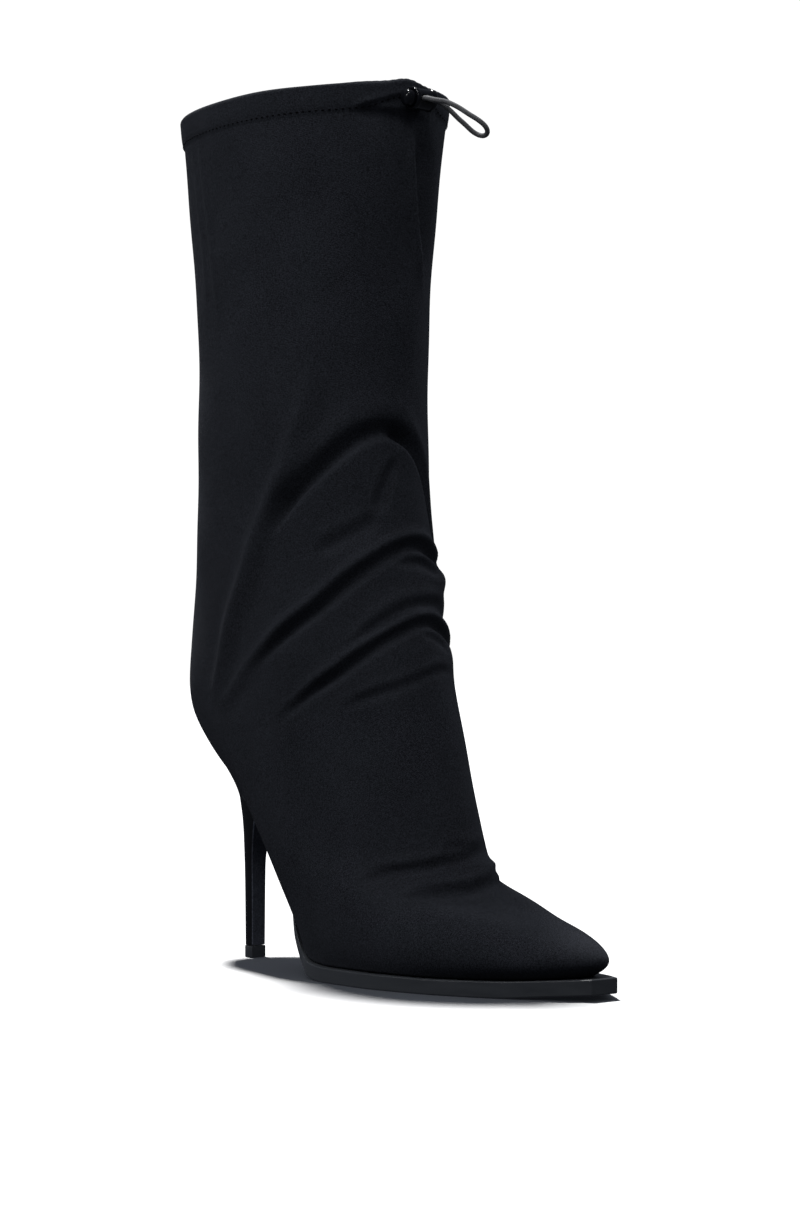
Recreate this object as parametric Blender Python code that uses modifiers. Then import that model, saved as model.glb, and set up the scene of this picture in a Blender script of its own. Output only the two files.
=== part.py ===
"""A stiletto boot: slouched fabric upper, rubber sole, covered heel, and a drawcord with its lock.

Tables and sizes are millimetres, and MM turns them into metres. In them u runs forward from the back
of the counter, x from the lateral side (negative) to the medial side, and z up from the floor. The toe
points along -Y.
"""

import math

import bmesh
import bpy
import numpy as np

MM = 0.001
ORIGIN_U = 115.9
ORIGIN_X = 0.3
GAP = 0.3

# Upper: the wall, the turned hem at the collar, and the toe's swing to the medial side
WALL = 1.8
HEM_WALL = 2.6
HEM_DEPTH = 11.0
HEM_STEP = 0.6
SWING = 4.0
SWING_FROM = 105.0
SWING_TO = 227.0

# The lower edge's fullness between the waist and the ball, lateral and medial, on top of the sections
WAIST_FILL_LATERAL = 6.2
WAIST_FILL_MEDIAL = 2.6
WAIST_FILL_AT = math.radians(84.0)
WAIST_FILL_BACK = math.radians(10.0)
WAIST_FILL_FRONT = math.radians(16.0)
WAIST_FILL_LEVELS = 2.5

# Station angles round each section, from the back (0) past the lateral side to the front (180)
STATIONS = (0, 40, 68, 108, 140, 180, 220, 252, 292, 320, 360)

# Sections of the upper from the feather edge up: front and back points, half widths at the stations,
# and the share of the last's arch that the section follows
SECTIONS = (
    # name, front u, front z, back u, back z, heel, waist lateral, waist medial, ball, toe, arch
    ("feather", 222.0, 7.6, 11.0, 87.4, 16.6, 18.6, 18.0, 34.5, 22.0, 1.00),
    ("wall", 229.5, 12.5, 4.0, 97.0, 21.2, 25.0, 23.0, 37.5, 24.0, 0.96),
    ("nose", 222.0, 20.0, 0.0, 108.0, 25.2, 29.5, 27.5, 37.5, 23.5, 0.86),
    ("vamp", 196.0, 26.4, 0.5, 121.0, 26.6, 32.0, 30.5, 35.5, 22.5, 0.70),
    ("throat", 171.0, 35.0, 3.0, 135.5, 26.5, 33.5, 32.5, 33.5, 21.5, 0.50),
    ("instep", 155.5, 69.0, 6.5, 152.0, 27.0, 34.5, 34.5, 33.5, 21.5, 0.28),
    ("bend", 143.0, 110.0, 10.5, 170.0, 27.5, 35.5, 35.0, 34.5, 22.0, 0.10),
    ("ankle", 130.5, 155.0, 13.5, 191.0, 28.0, 36.0, 36.5, 35.5, 23.0, 0.00),
    ("low", 122.8, 205.0, 15.0, 222.0, 27.5, 37.0, 37.5, 36.5, 24.0, 0.00),
    ("mid", 124.2, 268.0, 14.0, 273.0, 28.7, 38.4, 38.5, 37.5, 25.0, 0.00),
    ("collar", 130.8, 345.0, 9.3, 340.0, 33.5, 43.5, 44.5, 43.5, 29.0, 0.00),
)

# Rings of the mesh between section levels: close at the toe's curve and where the shaft folds
AROUND = 48
RING_BANDS = (
    # from level, to level, rings
    (0.0, 2.0, 7),
    (2.0, 5.2, 10),
    (5.2, 8.3, 22),
    (8.3, 9.84, 4),
)

# Folds of the slouched shaft and the toe break. Seen from outside, and walking a path in its order, the
# ridge lies on the left and the trough on the right.
FOLDS = (
    # name, rise, rise width, drop, drop width
    ("arch", 2.6, 12.0, 2.8, 8.0),
    ("heel pull", 1.5, 8.0, 1.2, 10.0),
    ("upper pleat", 1.8, 8.0, 2.4, 7.0),
    ("front tuck", 1.0, 7.0, 1.0, 7.0),
    ("middle pleat", 2.0, 8.0, 1.6, 7.0),
    ("lower pleat", 1.8, 8.0, 2.4, 7.0),
    ("instep line", 0.8, 7.0, 1.0, 7.0),
    ("toe break high", 2.4, 7.0, 1.2, 6.0),
    ("toe break low", 1.4, 7.0, 1.0, 6.0),
    ("shin edge", 1.5, 8.0, 1.2, 9.0),
)
FOLD_PATHS = {
    # stations of (angle, height) from one end to the other
    "arch": ((98, 160), (117, 183), (133, 198), (154, 211), (168, 215), (180, 212), (190, 203), (199, 187),
             (206, 168)),
    "heel pull": ((60, 108), (70, 124), (87, 153), (106, 182), (125, 220)),
    "upper pleat": ((74, 106), (91, 122), (109, 133), (134, 149), (154, 162), (166, 167), (178, 170),
                    (195, 169), (212, 163), (232, 152), (256, 136)),
    "front tuck": ((164, 160), (182, 162), (196, 159), (212, 154)),
    "middle pleat": ((142, 133), (158, 141), (171, 146), (188, 148), (205, 147), (222, 142), (240, 134)),
    "lower pleat": ((98, 98), (111, 106), (128, 117), (151, 128), (161, 133), (176, 137), (195, 140),
                    (212, 138), (232, 128), (256, 112)),
    "instep line": ((146, 111), (162, 114), (176, 117), (193, 119), (212, 117)),
    "toe break high": ((130, 40), (150, 42), (170, 44), (193, 46), (214, 44)),
    "toe break low": ((122, 34), (140, 34), (158, 35), (175, 37), (195, 38), (217, 36)),
    "shin edge": ((204, 262), (195, 280), (189, 294), (184, 313), (180, 331)),
}
FOLD_SAMPLES = 60
FOLD_FADE = 0.25

# Line of the last's underside, which the sole's top and the heel seat follow
LAST_LINE = (
    # u, z
    (0.0, 91.5),
    (11.0, 87.4),
    (26.0, 81.0),
    (47.0, 67.5),
    (64.0, 50.0),
    (79.0, 31.5),
    (89.0, 18.5),
    (98.0, 10.0),
    (109.0, 6.5),
    (122.0, 5.8),
    (168.0, 5.8),
    (200.0, 6.3),
    (222.0, 7.6),
    (233.0, 8.4),
)

# Sole: edges and underside, from the heel breast to the squared tip
SOLE = (
    # u, lateral x, medial x, bottom z
    (42.3, -17.0, 16.9, 67.0),
    (52.0, -17.0, 16.7, 59.0),
    (64.0, -17.2, 16.6, 46.0),
    (79.0, -20.6, 18.4, 27.3),
    (89.0, -26.2, 22.0, 13.5),
    (98.0, -29.9, 26.0, 4.9),
    (107.0, -34.2, 31.0, 1.0),
    (122.0, -37.5, 35.5, 0.0),
    (142.0, -38.0, 38.0, 0.0),
    (170.0, -33.5, 37.0, 0.0),
    (198.0, -22.5, 30.0, 0.0),
    (216.0, -11.5, 21.0, 1.2),
    (232.0, -2.2, 10.6, 2.4),
)
SOLE_STATIONS = 37
SOLE_EDGE_ROUND = 0.6
SHARP_EDGE = math.radians(45)

INSOLE_THICK = 2.0
INSOLE_INSET = 2.6
INSOLE_GAP = 0.5

# Heel: a D-shaped stem with a flat breast, and the flare from its top to the seat
STEM = (
    # z, half width, half depth, centre u
    (5.2, 3.7, 4.4, 29.0),
    (30.0, 3.9, 4.7, 29.0),
    (50.0, 4.3, 5.2, 28.8),
    (65.0, 4.9, 6.0, 28.0),
)
STEM_ROWS = 9
FLARE_ROWS = 7
FLARE_POWER = 1.4
BREAST_U = 42.0
BREAST_CORNER = math.radians(121.0)
BREAST_START = 36.0
BREAST_POWER = 2.3
BREAST_SHARE = (0.30, 0.985, 0.0)
BREAST_BEGINS = 0.45
BREAST_POINTS = 3
HEEL_BACK_POINTS = 21
TIP_HEIGHT = STEM[0][0] - GAP
TIP_MARGIN = 0.25

# Cord lock: a barrel across the front of the hem, with a plunger that slides in its bore
LOCK_RADIUS = 4.4
LOCK_WAIST_RADIUS = 4.1
LOCK_FLANGE = 1.6
LOCK_EDGE = 0.4
LOCK_HEIGHT = 338.6
LOCK_LATERAL_X = -6.0
LOCK_MEDIAL_X = 4.4
BORE_RADIUS = 3.4
BORE_END_X = 3.2
PLUNGER_RADIUS = 3.1
PLUNGER_PROUD = 3.7
PLUNGER_DOME = 1.6
PLUNGER_END_X = 0.2
PLUNGER_TRAVEL = 2.0
TURNED_STEPS = 24
DOME_STEPS = 5
SLOT_X = -1.6
SLOT_LENGTH = 4.6
SLOT_HEIGHT = 2.6

# Drawcord: a loop that leaves the lock's slot and returns to it
CORD_DIAMETER = 1.9
CORD_POINTS = 34
CORD_ROUTE = (
    # x, u, z
    (-2.65, 139.2, 338.4),
    (-2.6, 141.2, 338.2),
    (-1.8, 143.3, 337.5),
    (-0.3, 145.3, 337.0),
    (1.5, 147.4, 336.4),
    (3.1, 149.6, 335.2),
    (5.0, 151.9, 333.5),
    (7.1, 154.2, 331.4),
    (9.3, 156.1, 329.6),
    (11.8, 157.5, 327.5),
    (13.85, 157.15, 325.75),
    (15.1, 155.55, 324.6),
    (15.45, 153.35, 324.15),
    (14.75, 151.05, 324.7),
    (12.95, 149.25, 326.3),
    (10.65, 147.95, 328.65),
    (8.5, 146.5, 330.9),
    (6.7, 145.6, 332.8),
    (5.2, 144.9, 334.2),
    (3.7, 144.3, 335.4),
    (2.2, 143.6, 336.4),
    (0.8, 142.7, 337.2),
    (-0.2, 141.15, 337.9),
    (-0.55, 139.2, 338.4),
)

# Colours are linear
FABRIC = ((0.012, 0.012, 0.014), 0.92)
RUBBER = ((0.022, 0.022, 0.025), 0.48)
LINING = ((0.020, 0.019, 0.019), 0.85)
GLOSS_PLASTIC = ((0.008, 0.008, 0.009), 0.18)
CORD = ((0.030, 0.030, 0.033), 0.70)


def spline_weights(at, knots, closed=False):
    """Weights of the knots' values at each place in a cubic spline, free at its ends or closed on itself."""
    at = np.asarray(at, float)
    knots = np.asarray(knots, float)
    count = len(knots)
    step = np.diff(knots)
    system = np.eye(count)
    right = np.zeros((count, count))
    for i in range(1, count - 1):
        a, b = step[i - 1], step[i]
        system[i, i - 1 : i + 2] = a, 2 * (a + b), b
        right[i, i - 1 : i + 2] = 6 / a, -6 / a - 6 / b, 6 / b
    if closed:
        first, last = step[0], step[-1]
        system[0, -1] = -1
        system[-1] = 0
        system[-1, :2] = 2 * first, first
        system[-1, -2:] += last, 2 * last
        right[-1, :2] = -6 / first, 6 / first
        right[-1, -2:] += 6 / last, -6 / last
    bend = np.linalg.solve(system, right)
    value = np.eye(count)
    i = np.clip(np.searchsorted(knots, at, side="right") - 1, 0, count - 2)
    span = step[i][..., None]
    before = (at - knots[i])[..., None]
    after = span - before
    cubic = (bend[i] * after**3 + bend[i + 1] * before**3) / (6 * span)
    start = (value[i] / span - bend[i] * span / 6) * after
    end = (value[i + 1] / span - bend[i + 1] * span / 6) * before
    return cubic + start + end


def spline(at, values):
    """Cubic spline through evenly counted values."""
    return spline_weights(at, range(len(values))) @ np.asarray(values, float)


def monotone(at, knots, values):
    """Smooth curve through the knots that never passes beyond them."""
    knots = np.asarray(knots, float)
    values = np.asarray(values, float)
    step = np.diff(knots)
    slope = np.diff(values) / step
    product = slope[1:] * slope[:-1]
    total = slope[1:] + slope[:-1]
    inner = np.where(product > 0, 2 * product / np.where(total == 0, 1, total), 0)
    tangent = np.concatenate([slope[:1], inner, slope[-1:]])
    i = np.clip(np.searchsorted(knots, at, side="right") - 1, 0, len(knots) - 2)
    f = (at - knots[i]) / step[i]
    start = (2 * f**3 - 3 * f**2 + 1) * values[i] + (f**3 - 2 * f**2 + f) * step[i] * tangent[i]
    end = (3 * f**2 - 2 * f**3) * values[i + 1] + (f**3 - f**2) * step[i] * tangent[i + 1]
    return start + end


def last_line(u):
    """Height of the last's underside at u."""
    return monotone(u, *zip(*LAST_LINE))


def waist_fill(level, turn):
    """How far the sections stand out sideways near the lower edge, between the waist and the ball."""
    fade = np.clip(1 - level / WAIST_FILL_LEVELS, 0, 1) ** 2
    total = 0
    for side, fill in ((turn, -WAIST_FILL_LATERAL), (2 * math.pi - turn, WAIST_FILL_MEDIAL)):
        apart = side - WAIST_FILL_AT
        total = total + fill * np.exp(-((apart / np.where(apart < 0, WAIST_FILL_BACK, WAIST_FILL_FRONT)) ** 2))
    return total * fade


def upper_base(level, angle):
    """The upper without folds, as points (x, u, z): level counts sections from the feather edge."""
    level, angle = np.broadcast_arrays(np.asarray(level, float), np.asarray(angle, float))
    table = np.array([row[1:] for row in SECTIONS])
    columns = np.moveaxis(spline_weights(level, range(len(SECTIONS))) @ table, -1, 0)
    front_u, front_z, back_u, back_z, heel, waist_lateral, waist_medial, ball, toe, arch = columns
    turn = np.mod(angle, 2 * math.pi)
    none = np.zeros_like(heel)
    widths = (none, -heel, -waist_lateral, -ball, -toe, none, toe, ball, waist_medial, heel, none)
    x = np.sum(spline_weights(turn, np.radians(STATIONS), closed=True) * np.stack(widths, axis=-1), axis=-1)
    share = (1 - np.cos(turn)) / 2
    u = back_u + (front_u - back_u) * share
    feather_front_u, feather_front_z, feather_back_u, feather_back_z = SECTIONS[0][1:5]
    feather_line = last_line(feather_back_u + (feather_front_u - feather_back_u) * share)
    feather_chord = feather_back_z + (feather_front_z - feather_back_z) * share
    z = back_z + (front_z - back_z) * share + arch * (feather_line - feather_chord) + GAP
    swing = SWING * np.clip((u - SWING_FROM) / (SWING_TO - SWING_FROM), 0, None) ** 2
    return np.stack([x + swing + waist_fill(level, turn), u, z], axis=-1)


def upper_normal(level, angle):
    """Direction out of the upper's smooth surface."""
    nudge = 1e-3
    level = np.clip(level, nudge, len(SECTIONS) - 1 - nudge)
    round_it = upper_base(level, angle + nudge) - upper_base(level, angle - nudge)
    up_it = upper_base(level + nudge, angle) - upper_base(level - nudge, angle)
    out = np.cross(up_it, round_it)
    return out / np.linalg.norm(out, axis=-1, keepdims=True)


def fold_path(path):
    """Places along a fold on the smooth upper, and the direction to the left of the path at each."""
    angles, heights = np.array(path, float).T
    count = np.linspace(0, len(path) - 1, FOLD_SAMPLES)
    angles = np.radians(spline(count, angles))
    heights = spline(count, heights)
    every_level = np.linspace(0, len(SECTIONS) - 1, 200)
    levels = []
    for angle, height in zip(angles, heights):
        levels.append(np.interp(height, upper_base(every_level, angle)[:, 2], every_level))
    places = upper_base(np.array(levels), angles)
    left = np.cross(np.gradient(places, axis=0), upper_normal(np.array(levels), angles))
    return places, left / np.linalg.norm(left, axis=1, keepdims=True)


def fold_height(points):
    """How far the folds lift or sink the upper at each point."""
    total = np.zeros(len(points))
    for name, rise, rise_width, drop, drop_width in FOLDS:
        places, left = fold_path(FOLD_PATHS[name])
        apart = np.linalg.norm(points[:, None] - places, axis=2)
        near = np.argmin(apart, axis=1)
        offset = points - places[near]
        side = np.copysign(apart.min(axis=1), np.sum(offset * left[near], axis=1))
        along = near / (FOLD_SAMPLES - 1)
        fade = np.clip(np.minimum(along, 1 - along) / FOLD_FADE, 0, 1)
        fade = fade * fade * (3 - 2 * fade)
        ridge = rise * np.exp(-((side / rise_width - 0.6) ** 2) * 2)
        trough = drop * np.exp(-((side / drop_width + 0.4) ** 2) * 2)
        total += fade * (ridge - trough)
    return total


def place(points):
    """Points (x, u, z) in millimetres, in the frame of the part in metres."""
    x, u, z = np.moveaxis(np.asarray(points, float), -1, 0)
    return np.stack([x - ORIGIN_X, ORIGIN_U - u, z], axis=-1) * MM


def material(name, look):
    """A Principled material of one colour and roughness."""
    colour, roughness = look
    made = bpy.data.materials.new(name)
    made.use_nodes = True
    shader = made.node_tree.nodes["Principled BSDF"]
    shader.inputs["Base Color"].default_value = (*colour, 1)
    shader.inputs["Roughness"].default_value = roughness
    shader.inputs["Metallic"].default_value = 0
    return made


def add_piece(name, data, look, parent, parts):
    """A named piece with its own material, under its parent."""
    data.materials.append(material(name, look))
    piece = bpy.data.objects.new(name, data)
    piece.parent = parent
    parts.objects.link(piece)
    return piece


def loft_mesh(name, points, faces):
    """A mesh from points (x, u, z) and faces."""
    mesh = bpy.data.meshes.new(name)
    mesh.from_pydata(place(points).tolist(), [], faces)
    return mesh


def face_out(mesh):
    """Turns the faces of a closed mesh outwards."""
    work = bmesh.new()
    work.from_mesh(mesh)
    bmesh.ops.recalc_face_normals(work, faces=work.faces)
    work.to_mesh(mesh)
    work.free()


def ring_quads(rings, around):
    """Quads between neighbouring closed rings of the same count."""
    quads = []
    for i in range(rings - 1):
        for j in range(around):
            k = (j + 1) % around
            quads.append((i * around + j, i * around + k, (i + 1) * around + k, (i + 1) * around + j))
    return quads


def upper_levels():
    """Levels of the upper's rings, and the level where the hem starts."""
    collar = len(SECTIONS) - 1
    hem = collar - HEM_DEPTH / (SECTIONS[collar][2] - SECTIONS[collar - 1][2])
    levels = [np.linspace(low, high, rings, endpoint=False) for low, high, rings in RING_BANDS]
    top_band = RING_BANDS[-1][1]
    return np.concatenate([*levels, [top_band, hem, (hem + collar) / 2, collar]]), hem


def add_upper(parent, parts):
    """The fabric upper: one wall from the feather edge to the collar, thicker at the turned hem."""
    levels, hem = upper_levels()
    angles = np.linspace(0, 2 * math.pi, AROUND, endpoint=False)
    level, angle = (grid.ravel() for grid in np.meshgrid(levels, angles, indexing="ij"))
    base = upper_base(level, angle)
    lift = fold_height(base) + np.where(level >= hem, HEM_STEP, 0)
    points = base + upper_normal(level, angle) * lift[:, None]
    mesh = loft_mesh("upper", points, ring_quads(len(levels), AROUND))
    piece = add_piece("upper", mesh, FABRIC, parent, parts)
    hem_points = piece.vertex_groups.new(name="hem")
    hem_points.add(np.flatnonzero(level >= hem).tolist(), 1.0, "REPLACE")
    wall = piece.modifiers.new("wall", "SOLIDIFY")
    wall.thickness = HEM_WALL * MM
    wall.offset = -1
    wall.vertex_group = hem_points.name
    wall.thickness_vertex_group = WALL / HEM_WALL
    mesh.shade_smooth()


def slab_mesh(name, left, right, low, high):
    """A closed strip between a left and a right edge of (x, u), from its low to its high sides."""
    stations = len(left)
    rails = [
        np.column_stack([left, low[0]]),
        np.column_stack([left, high[0]]),
        np.column_stack([right, high[1]]),
        np.column_stack([right, low[1]]),
    ]
    faces = []
    for i in range(stations - 1):
        for a in range(4):
            b = (a + 1) % 4
            faces.append((a * stations + i, b * stations + i, b * stations + i + 1, a * stations + i + 1))
    for end in (0, stations - 1):
        faces.append(tuple(rail * stations + end for rail in range(4)))
    mesh = loft_mesh(name, np.concatenate(rails), faces)
    face_out(mesh)
    return mesh


def add_outsole(parent, parts):
    """The sole from the heel breast to the squared tip, flat under the ball and sprung at the toe."""
    knots, lateral, medial, underside = np.array(SOLE).T
    u = np.interp(np.linspace(0, len(SOLE) - 1, SOLE_STATIONS), range(len(SOLE)), knots)
    left = np.column_stack([monotone(u, knots, lateral), u])
    right = np.column_stack([monotone(u, knots, medial), u])
    low = monotone(u, knots, underside)
    high = last_line(u)
    mesh = slab_mesh("outsole", left, right, (low, low), (high, high))
    piece = add_piece("outsole", mesh, RUBBER, parent, parts)
    edge = piece.modifiers.new("edge", "BEVEL")
    edge.width = SOLE_EDGE_ROUND * MM
    edge.segments = 1
    edge.limit_method = "ANGLE"
    edge.angle_limit = SHARP_EDGE


def add_insole(parent, parts):
    """The board that closes the bottom of the upper, lying on the sole and the heel seat."""
    angles = np.linspace(0, 2 * math.pi, AROUND, endpoint=False)
    outline = upper_base(0.0, angles)[:, :2]
    tangent = np.roll(outline, -1, axis=0) - np.roll(outline, 1, axis=0)
    tangent /= np.linalg.norm(tangent, axis=1, keepdims=True)
    inward = np.column_stack([tangent[:, 1], -tangent[:, 0]])
    inner = outline + INSOLE_INSET * inward
    half = AROUND // 2
    left = inner[1:half]
    right = inner[:half:-1]
    low = [last_line(edge[:, 1]) + INSOLE_GAP for edge in (left, right)]
    high = [edge + INSOLE_THICK for edge in low]
    add_piece("insole", slab_mesh("insole", left, right, low, high), LINING, parent, parts)


def closed_by_breast(back):
    """A plan outline round the heel's back, closed by points straight across its breast."""
    across = np.linspace(0, 1, BREAST_POINTS + 2)[1:-1, None]
    return np.concatenate([back, back[-1] + (back[0] - back[-1]) * across])


def stem_ring(z, half_width, half_depth, centre_u):
    """A D-shaped section of the stem: round at the back, flat at the breast."""
    turn = np.linspace(BREAST_CORNER, -BREAST_CORNER, HEEL_BACK_POINTS)
    back = np.column_stack([-half_width * np.sin(turn), centre_u - half_depth * np.cos(turn)])
    plan = closed_by_breast(back)
    return np.column_stack([plan, np.full(len(plan), z)])


def seat_ring():
    """Outline of the heel's top: the feather edge round the back, and straight across the breast."""
    front_u, _, back_u, _ = SECTIONS[0][1:5]
    corner = math.acos(1 - 2 * (BREAST_U - back_u) / (front_u - back_u))
    turn = np.linspace(corner, -corner, HEEL_BACK_POINTS)
    plan = closed_by_breast(upper_base(0.0, turn)[:, :2])
    return np.column_stack([plan, last_line(plan[:, 1])])


def smooth_step(x):
    """From 0 at x = 0 to 1 at x = 1, level at both ends."""
    x = np.clip(x, 0, 1)
    return x * x * (3 - 2 * x)


def breast_flare(ring, seat):
    """A ring of the stem with its breast drawn out towards the seat's, so that the heel meets the sole's back end."""
    rise = (ring[0, 2] - BREAST_START) / (STEM[-1][0] - BREAST_START)
    turn = np.abs(np.linspace(-1, 1, HEEL_BACK_POINTS))
    front = np.concatenate([smooth_step((turn - BREAST_BEGINS) / (1 - BREAST_BEGINS)), np.ones(BREAST_POINTS)])
    drawn = max(rise, 0.0) ** BREAST_POWER * front
    return ring + drawn[:, None] * (seat - ring) * BREAST_SHARE


def add_heel(parent, parts):
    """The covered stiletto: a slim stem that flares to the seat."""
    heights, *sizes = np.array(STEM).T
    seat = seat_ring()
    rings = []
    for z in np.linspace(heights[0], heights[-1], STEM_ROWS):
        ring = stem_ring(z, *(monotone(z, heights, size) for size in sizes))
        rings.append(breast_flare(ring, seat))
    stem_top = rings[-1]
    reach = seat - stem_top
    for share in np.linspace(0, 1, FLARE_ROWS + 1)[1:]:
        flare = share**FLARE_POWER
        rings.append(stem_top + reach * (flare, flare, share))
    around = len(stem_top)
    faces = ring_quads(len(rings), around)
    faces.append(tuple(range(around)))
    # the seat is closed by strips from side to side, which follow the last's line
    first = (len(rings) - 1) * around
    last = first + HEEL_BACK_POINTS - 1
    middle = HEEL_BACK_POINTS // 2
    faces.append((first, first + 1, *range(last - 1, first + around)))
    for k in range(1, middle - 1):
        faces.append((first + k, first + k + 1, last - k - 1, last - k))
    faces.append((first + middle - 1, first + middle, first + middle + 1))
    mesh = loft_mesh("heel", np.concatenate(rings), faces)
    face_out(mesh)
    add_piece("heel", mesh, FABRIC, parent, parts)


def add_heel_tip(parent, parts):
    """The hard top lift under the stem."""
    _, half_width, half_depth, centre_u = STEM[0]
    sizes = (half_width + TIP_MARGIN, half_depth + TIP_MARGIN, centre_u)
    low = stem_ring(0.0, *sizes)
    high = stem_ring(TIP_HEIGHT, *sizes)
    around = len(low)
    faces = ring_quads(2, around)
    faces.append(tuple(range(around)))
    faces.append(tuple(range(around, 2 * around)))
    mesh = loft_mesh("heel_tip", np.concatenate([low, high]), faces)
    face_out(mesh)
    add_piece("heel_tip", mesh, RUBBER, parent, parts)


def lock_axis_u():
    """Where the barrel's axis lies, so that the barrel sits on the front of the hem."""
    collar = len(SECTIONS) - 1
    every_level = np.linspace(collar - 1, collar, 100)
    front = upper_base(every_level, math.pi)
    return np.interp(LOCK_HEIGHT, front[:, 2], front[:, 1]) + HEM_STEP + GAP + LOCK_RADIUS


def add_turned(name, profile, look, parent, parts):
    """A piece turned about its local Z from a profile of (radius, height) down its outer side."""
    mesh = bpy.data.meshes.new(name)
    points = [(radius * MM, 0, height * MM) for radius, height in profile]
    mesh.from_pydata(points, [(i, i + 1) for i in range(len(points) - 1)], [])
    piece = add_piece(name, mesh, look, parent, parts)
    turn = piece.modifiers.new("turn", "SCREW")
    turn.angle = 2 * math.pi
    turn.steps = TURNED_STEPS
    turn.render_steps = TURNED_STEPS
    turn.use_merge_vertices = True
    turn.merge_threshold = 1e-5
    turn.use_smooth_shade = True
    return piece


def add_lock(parent, parts, cutters):
    """The cord lock: a flanged barrel with a blind bore and a slot for the cord, and its sprung plunger."""
    axis = bpy.data.objects.new("cord_lock_axis", None)
    axis.location = place((0.0, lock_axis_u(), LOCK_HEIGHT))
    axis.rotation_euler = (0, -math.pi / 2, 0)
    axis.parent = parent
    parts.objects.link(axis)
    # along the axis, heights count from x = 0 towards the lateral side
    mouth = -LOCK_LATERAL_X
    foot = -LOCK_MEDIAL_X
    bore_end = -BORE_END_X
    body_profile = (
        (0, bore_end),
        (BORE_RADIUS, bore_end),
        (BORE_RADIUS, mouth),
        (LOCK_RADIUS - LOCK_EDGE, mouth),
        (LOCK_RADIUS, mouth - LOCK_EDGE),
        (LOCK_RADIUS, mouth - LOCK_FLANGE),
        (LOCK_WAIST_RADIUS, mouth - LOCK_FLANGE - LOCK_EDGE),
        (LOCK_WAIST_RADIUS, foot + LOCK_FLANGE + LOCK_EDGE),
        (LOCK_RADIUS, foot + LOCK_FLANGE),
        (LOCK_RADIUS, foot + LOCK_EDGE),
        (LOCK_RADIUS - LOCK_EDGE, foot),
        (0, foot),
    )
    body = add_turned("cord_lock_body", body_profile, GLOSS_PLASTIC, axis, parts)
    top = mouth + PLUNGER_PROUD
    plunger_profile = [(0, top)]
    for turn in np.linspace(0, math.pi / 2, DOME_STEPS + 1)[1:]:
        fall = PLUNGER_DOME * (1 - math.cos(turn))
        plunger_profile.append((PLUNGER_RADIUS * math.sin(turn), top - fall))
    plunger_profile += [(PLUNGER_RADIUS, -PLUNGER_END_X), (0, -PLUNGER_END_X)]
    plunger = add_turned("cord_lock_plunger", plunger_profile, GLOSS_PLASTIC, axis, parts)
    add_slot("cord_lock_slot", body, -SLOT_X, axis, cutters)
    add_slot("plunger_slot", plunger, -SLOT_X + PLUNGER_TRAVEL, axis, cutters)


def add_slot(name, piece, height, axis, cutters):
    """Cuts a slot for the cord through a piece of the lock, from front to back."""
    mesh = bpy.data.meshes.new(name)
    work = bmesh.new()
    bmesh.ops.create_cube(work, size=1.0)
    size = (SLOT_HEIGHT, 4 * LOCK_RADIUS, SLOT_LENGTH)
    bmesh.ops.scale(work, vec=[side * MM for side in size], verts=work.verts)
    work.to_mesh(mesh)
    work.free()
    cutter = bpy.data.objects.new(name, mesh)
    cutter.location = (0, 0, height * MM)
    cutter.parent = axis
    cutter.hide_render = True
    cutter.display_type = "WIRE"
    cutters.objects.link(cutter)
    cut = piece.modifiers.new("slot", "BOOLEAN")
    cut.operation = "DIFFERENCE"
    cut.object = cutter


def add_drawcord(parent, parts):
    """The drawcord's free loop: one smooth curve through its route."""
    count = np.linspace(0, len(CORD_ROUTE) - 1, CORD_POINTS)
    path = place(spline(count, CORD_ROUTE))
    curve = bpy.data.curves.new("drawcord_loop", "CURVE")
    curve.dimensions = "3D"
    curve.bevel_depth = CORD_DIAMETER / 2 * MM
    curve.bevel_resolution = 2
    curve.use_fill_caps = True
    line = curve.splines.new("POLY")
    line.points.add(len(path) - 1)
    for point, spot in zip(line.points, path):
        point.co = (*spot, 1)
    add_piece("drawcord_loop", curve, CORD, parent, parts)


def main():
    for old in list(bpy.data.objects):
        bpy.data.objects.remove(old)
    parts = bpy.data.collections.new("stiletto_boot")
    cutters = bpy.data.collections.new("stiletto_boot_cutters")
    for collection in (parts, cutters):
        bpy.context.scene.collection.children.link(collection)
    boot = bpy.data.objects.new("boot", None)
    parts.objects.link(boot)
    add_upper(boot, parts)
    add_insole(boot, parts)
    add_outsole(boot, parts)
    add_heel(boot, parts)
    add_heel_tip(boot, parts)
    add_lock(boot, parts, cutters)
    add_drawcord(boot, parts)


main()
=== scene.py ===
"""The finished look of a stiletto boot: slouched fabric upper, rubber sole, covered heel, drawcord and lock.

Tables and sizes are millimetres, as in the part itself: u runs forward from the back of the counter, x from
the lateral side (negative) to the medial side, and z up from the floor. The toe points along -Y.
"""

import math

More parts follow.
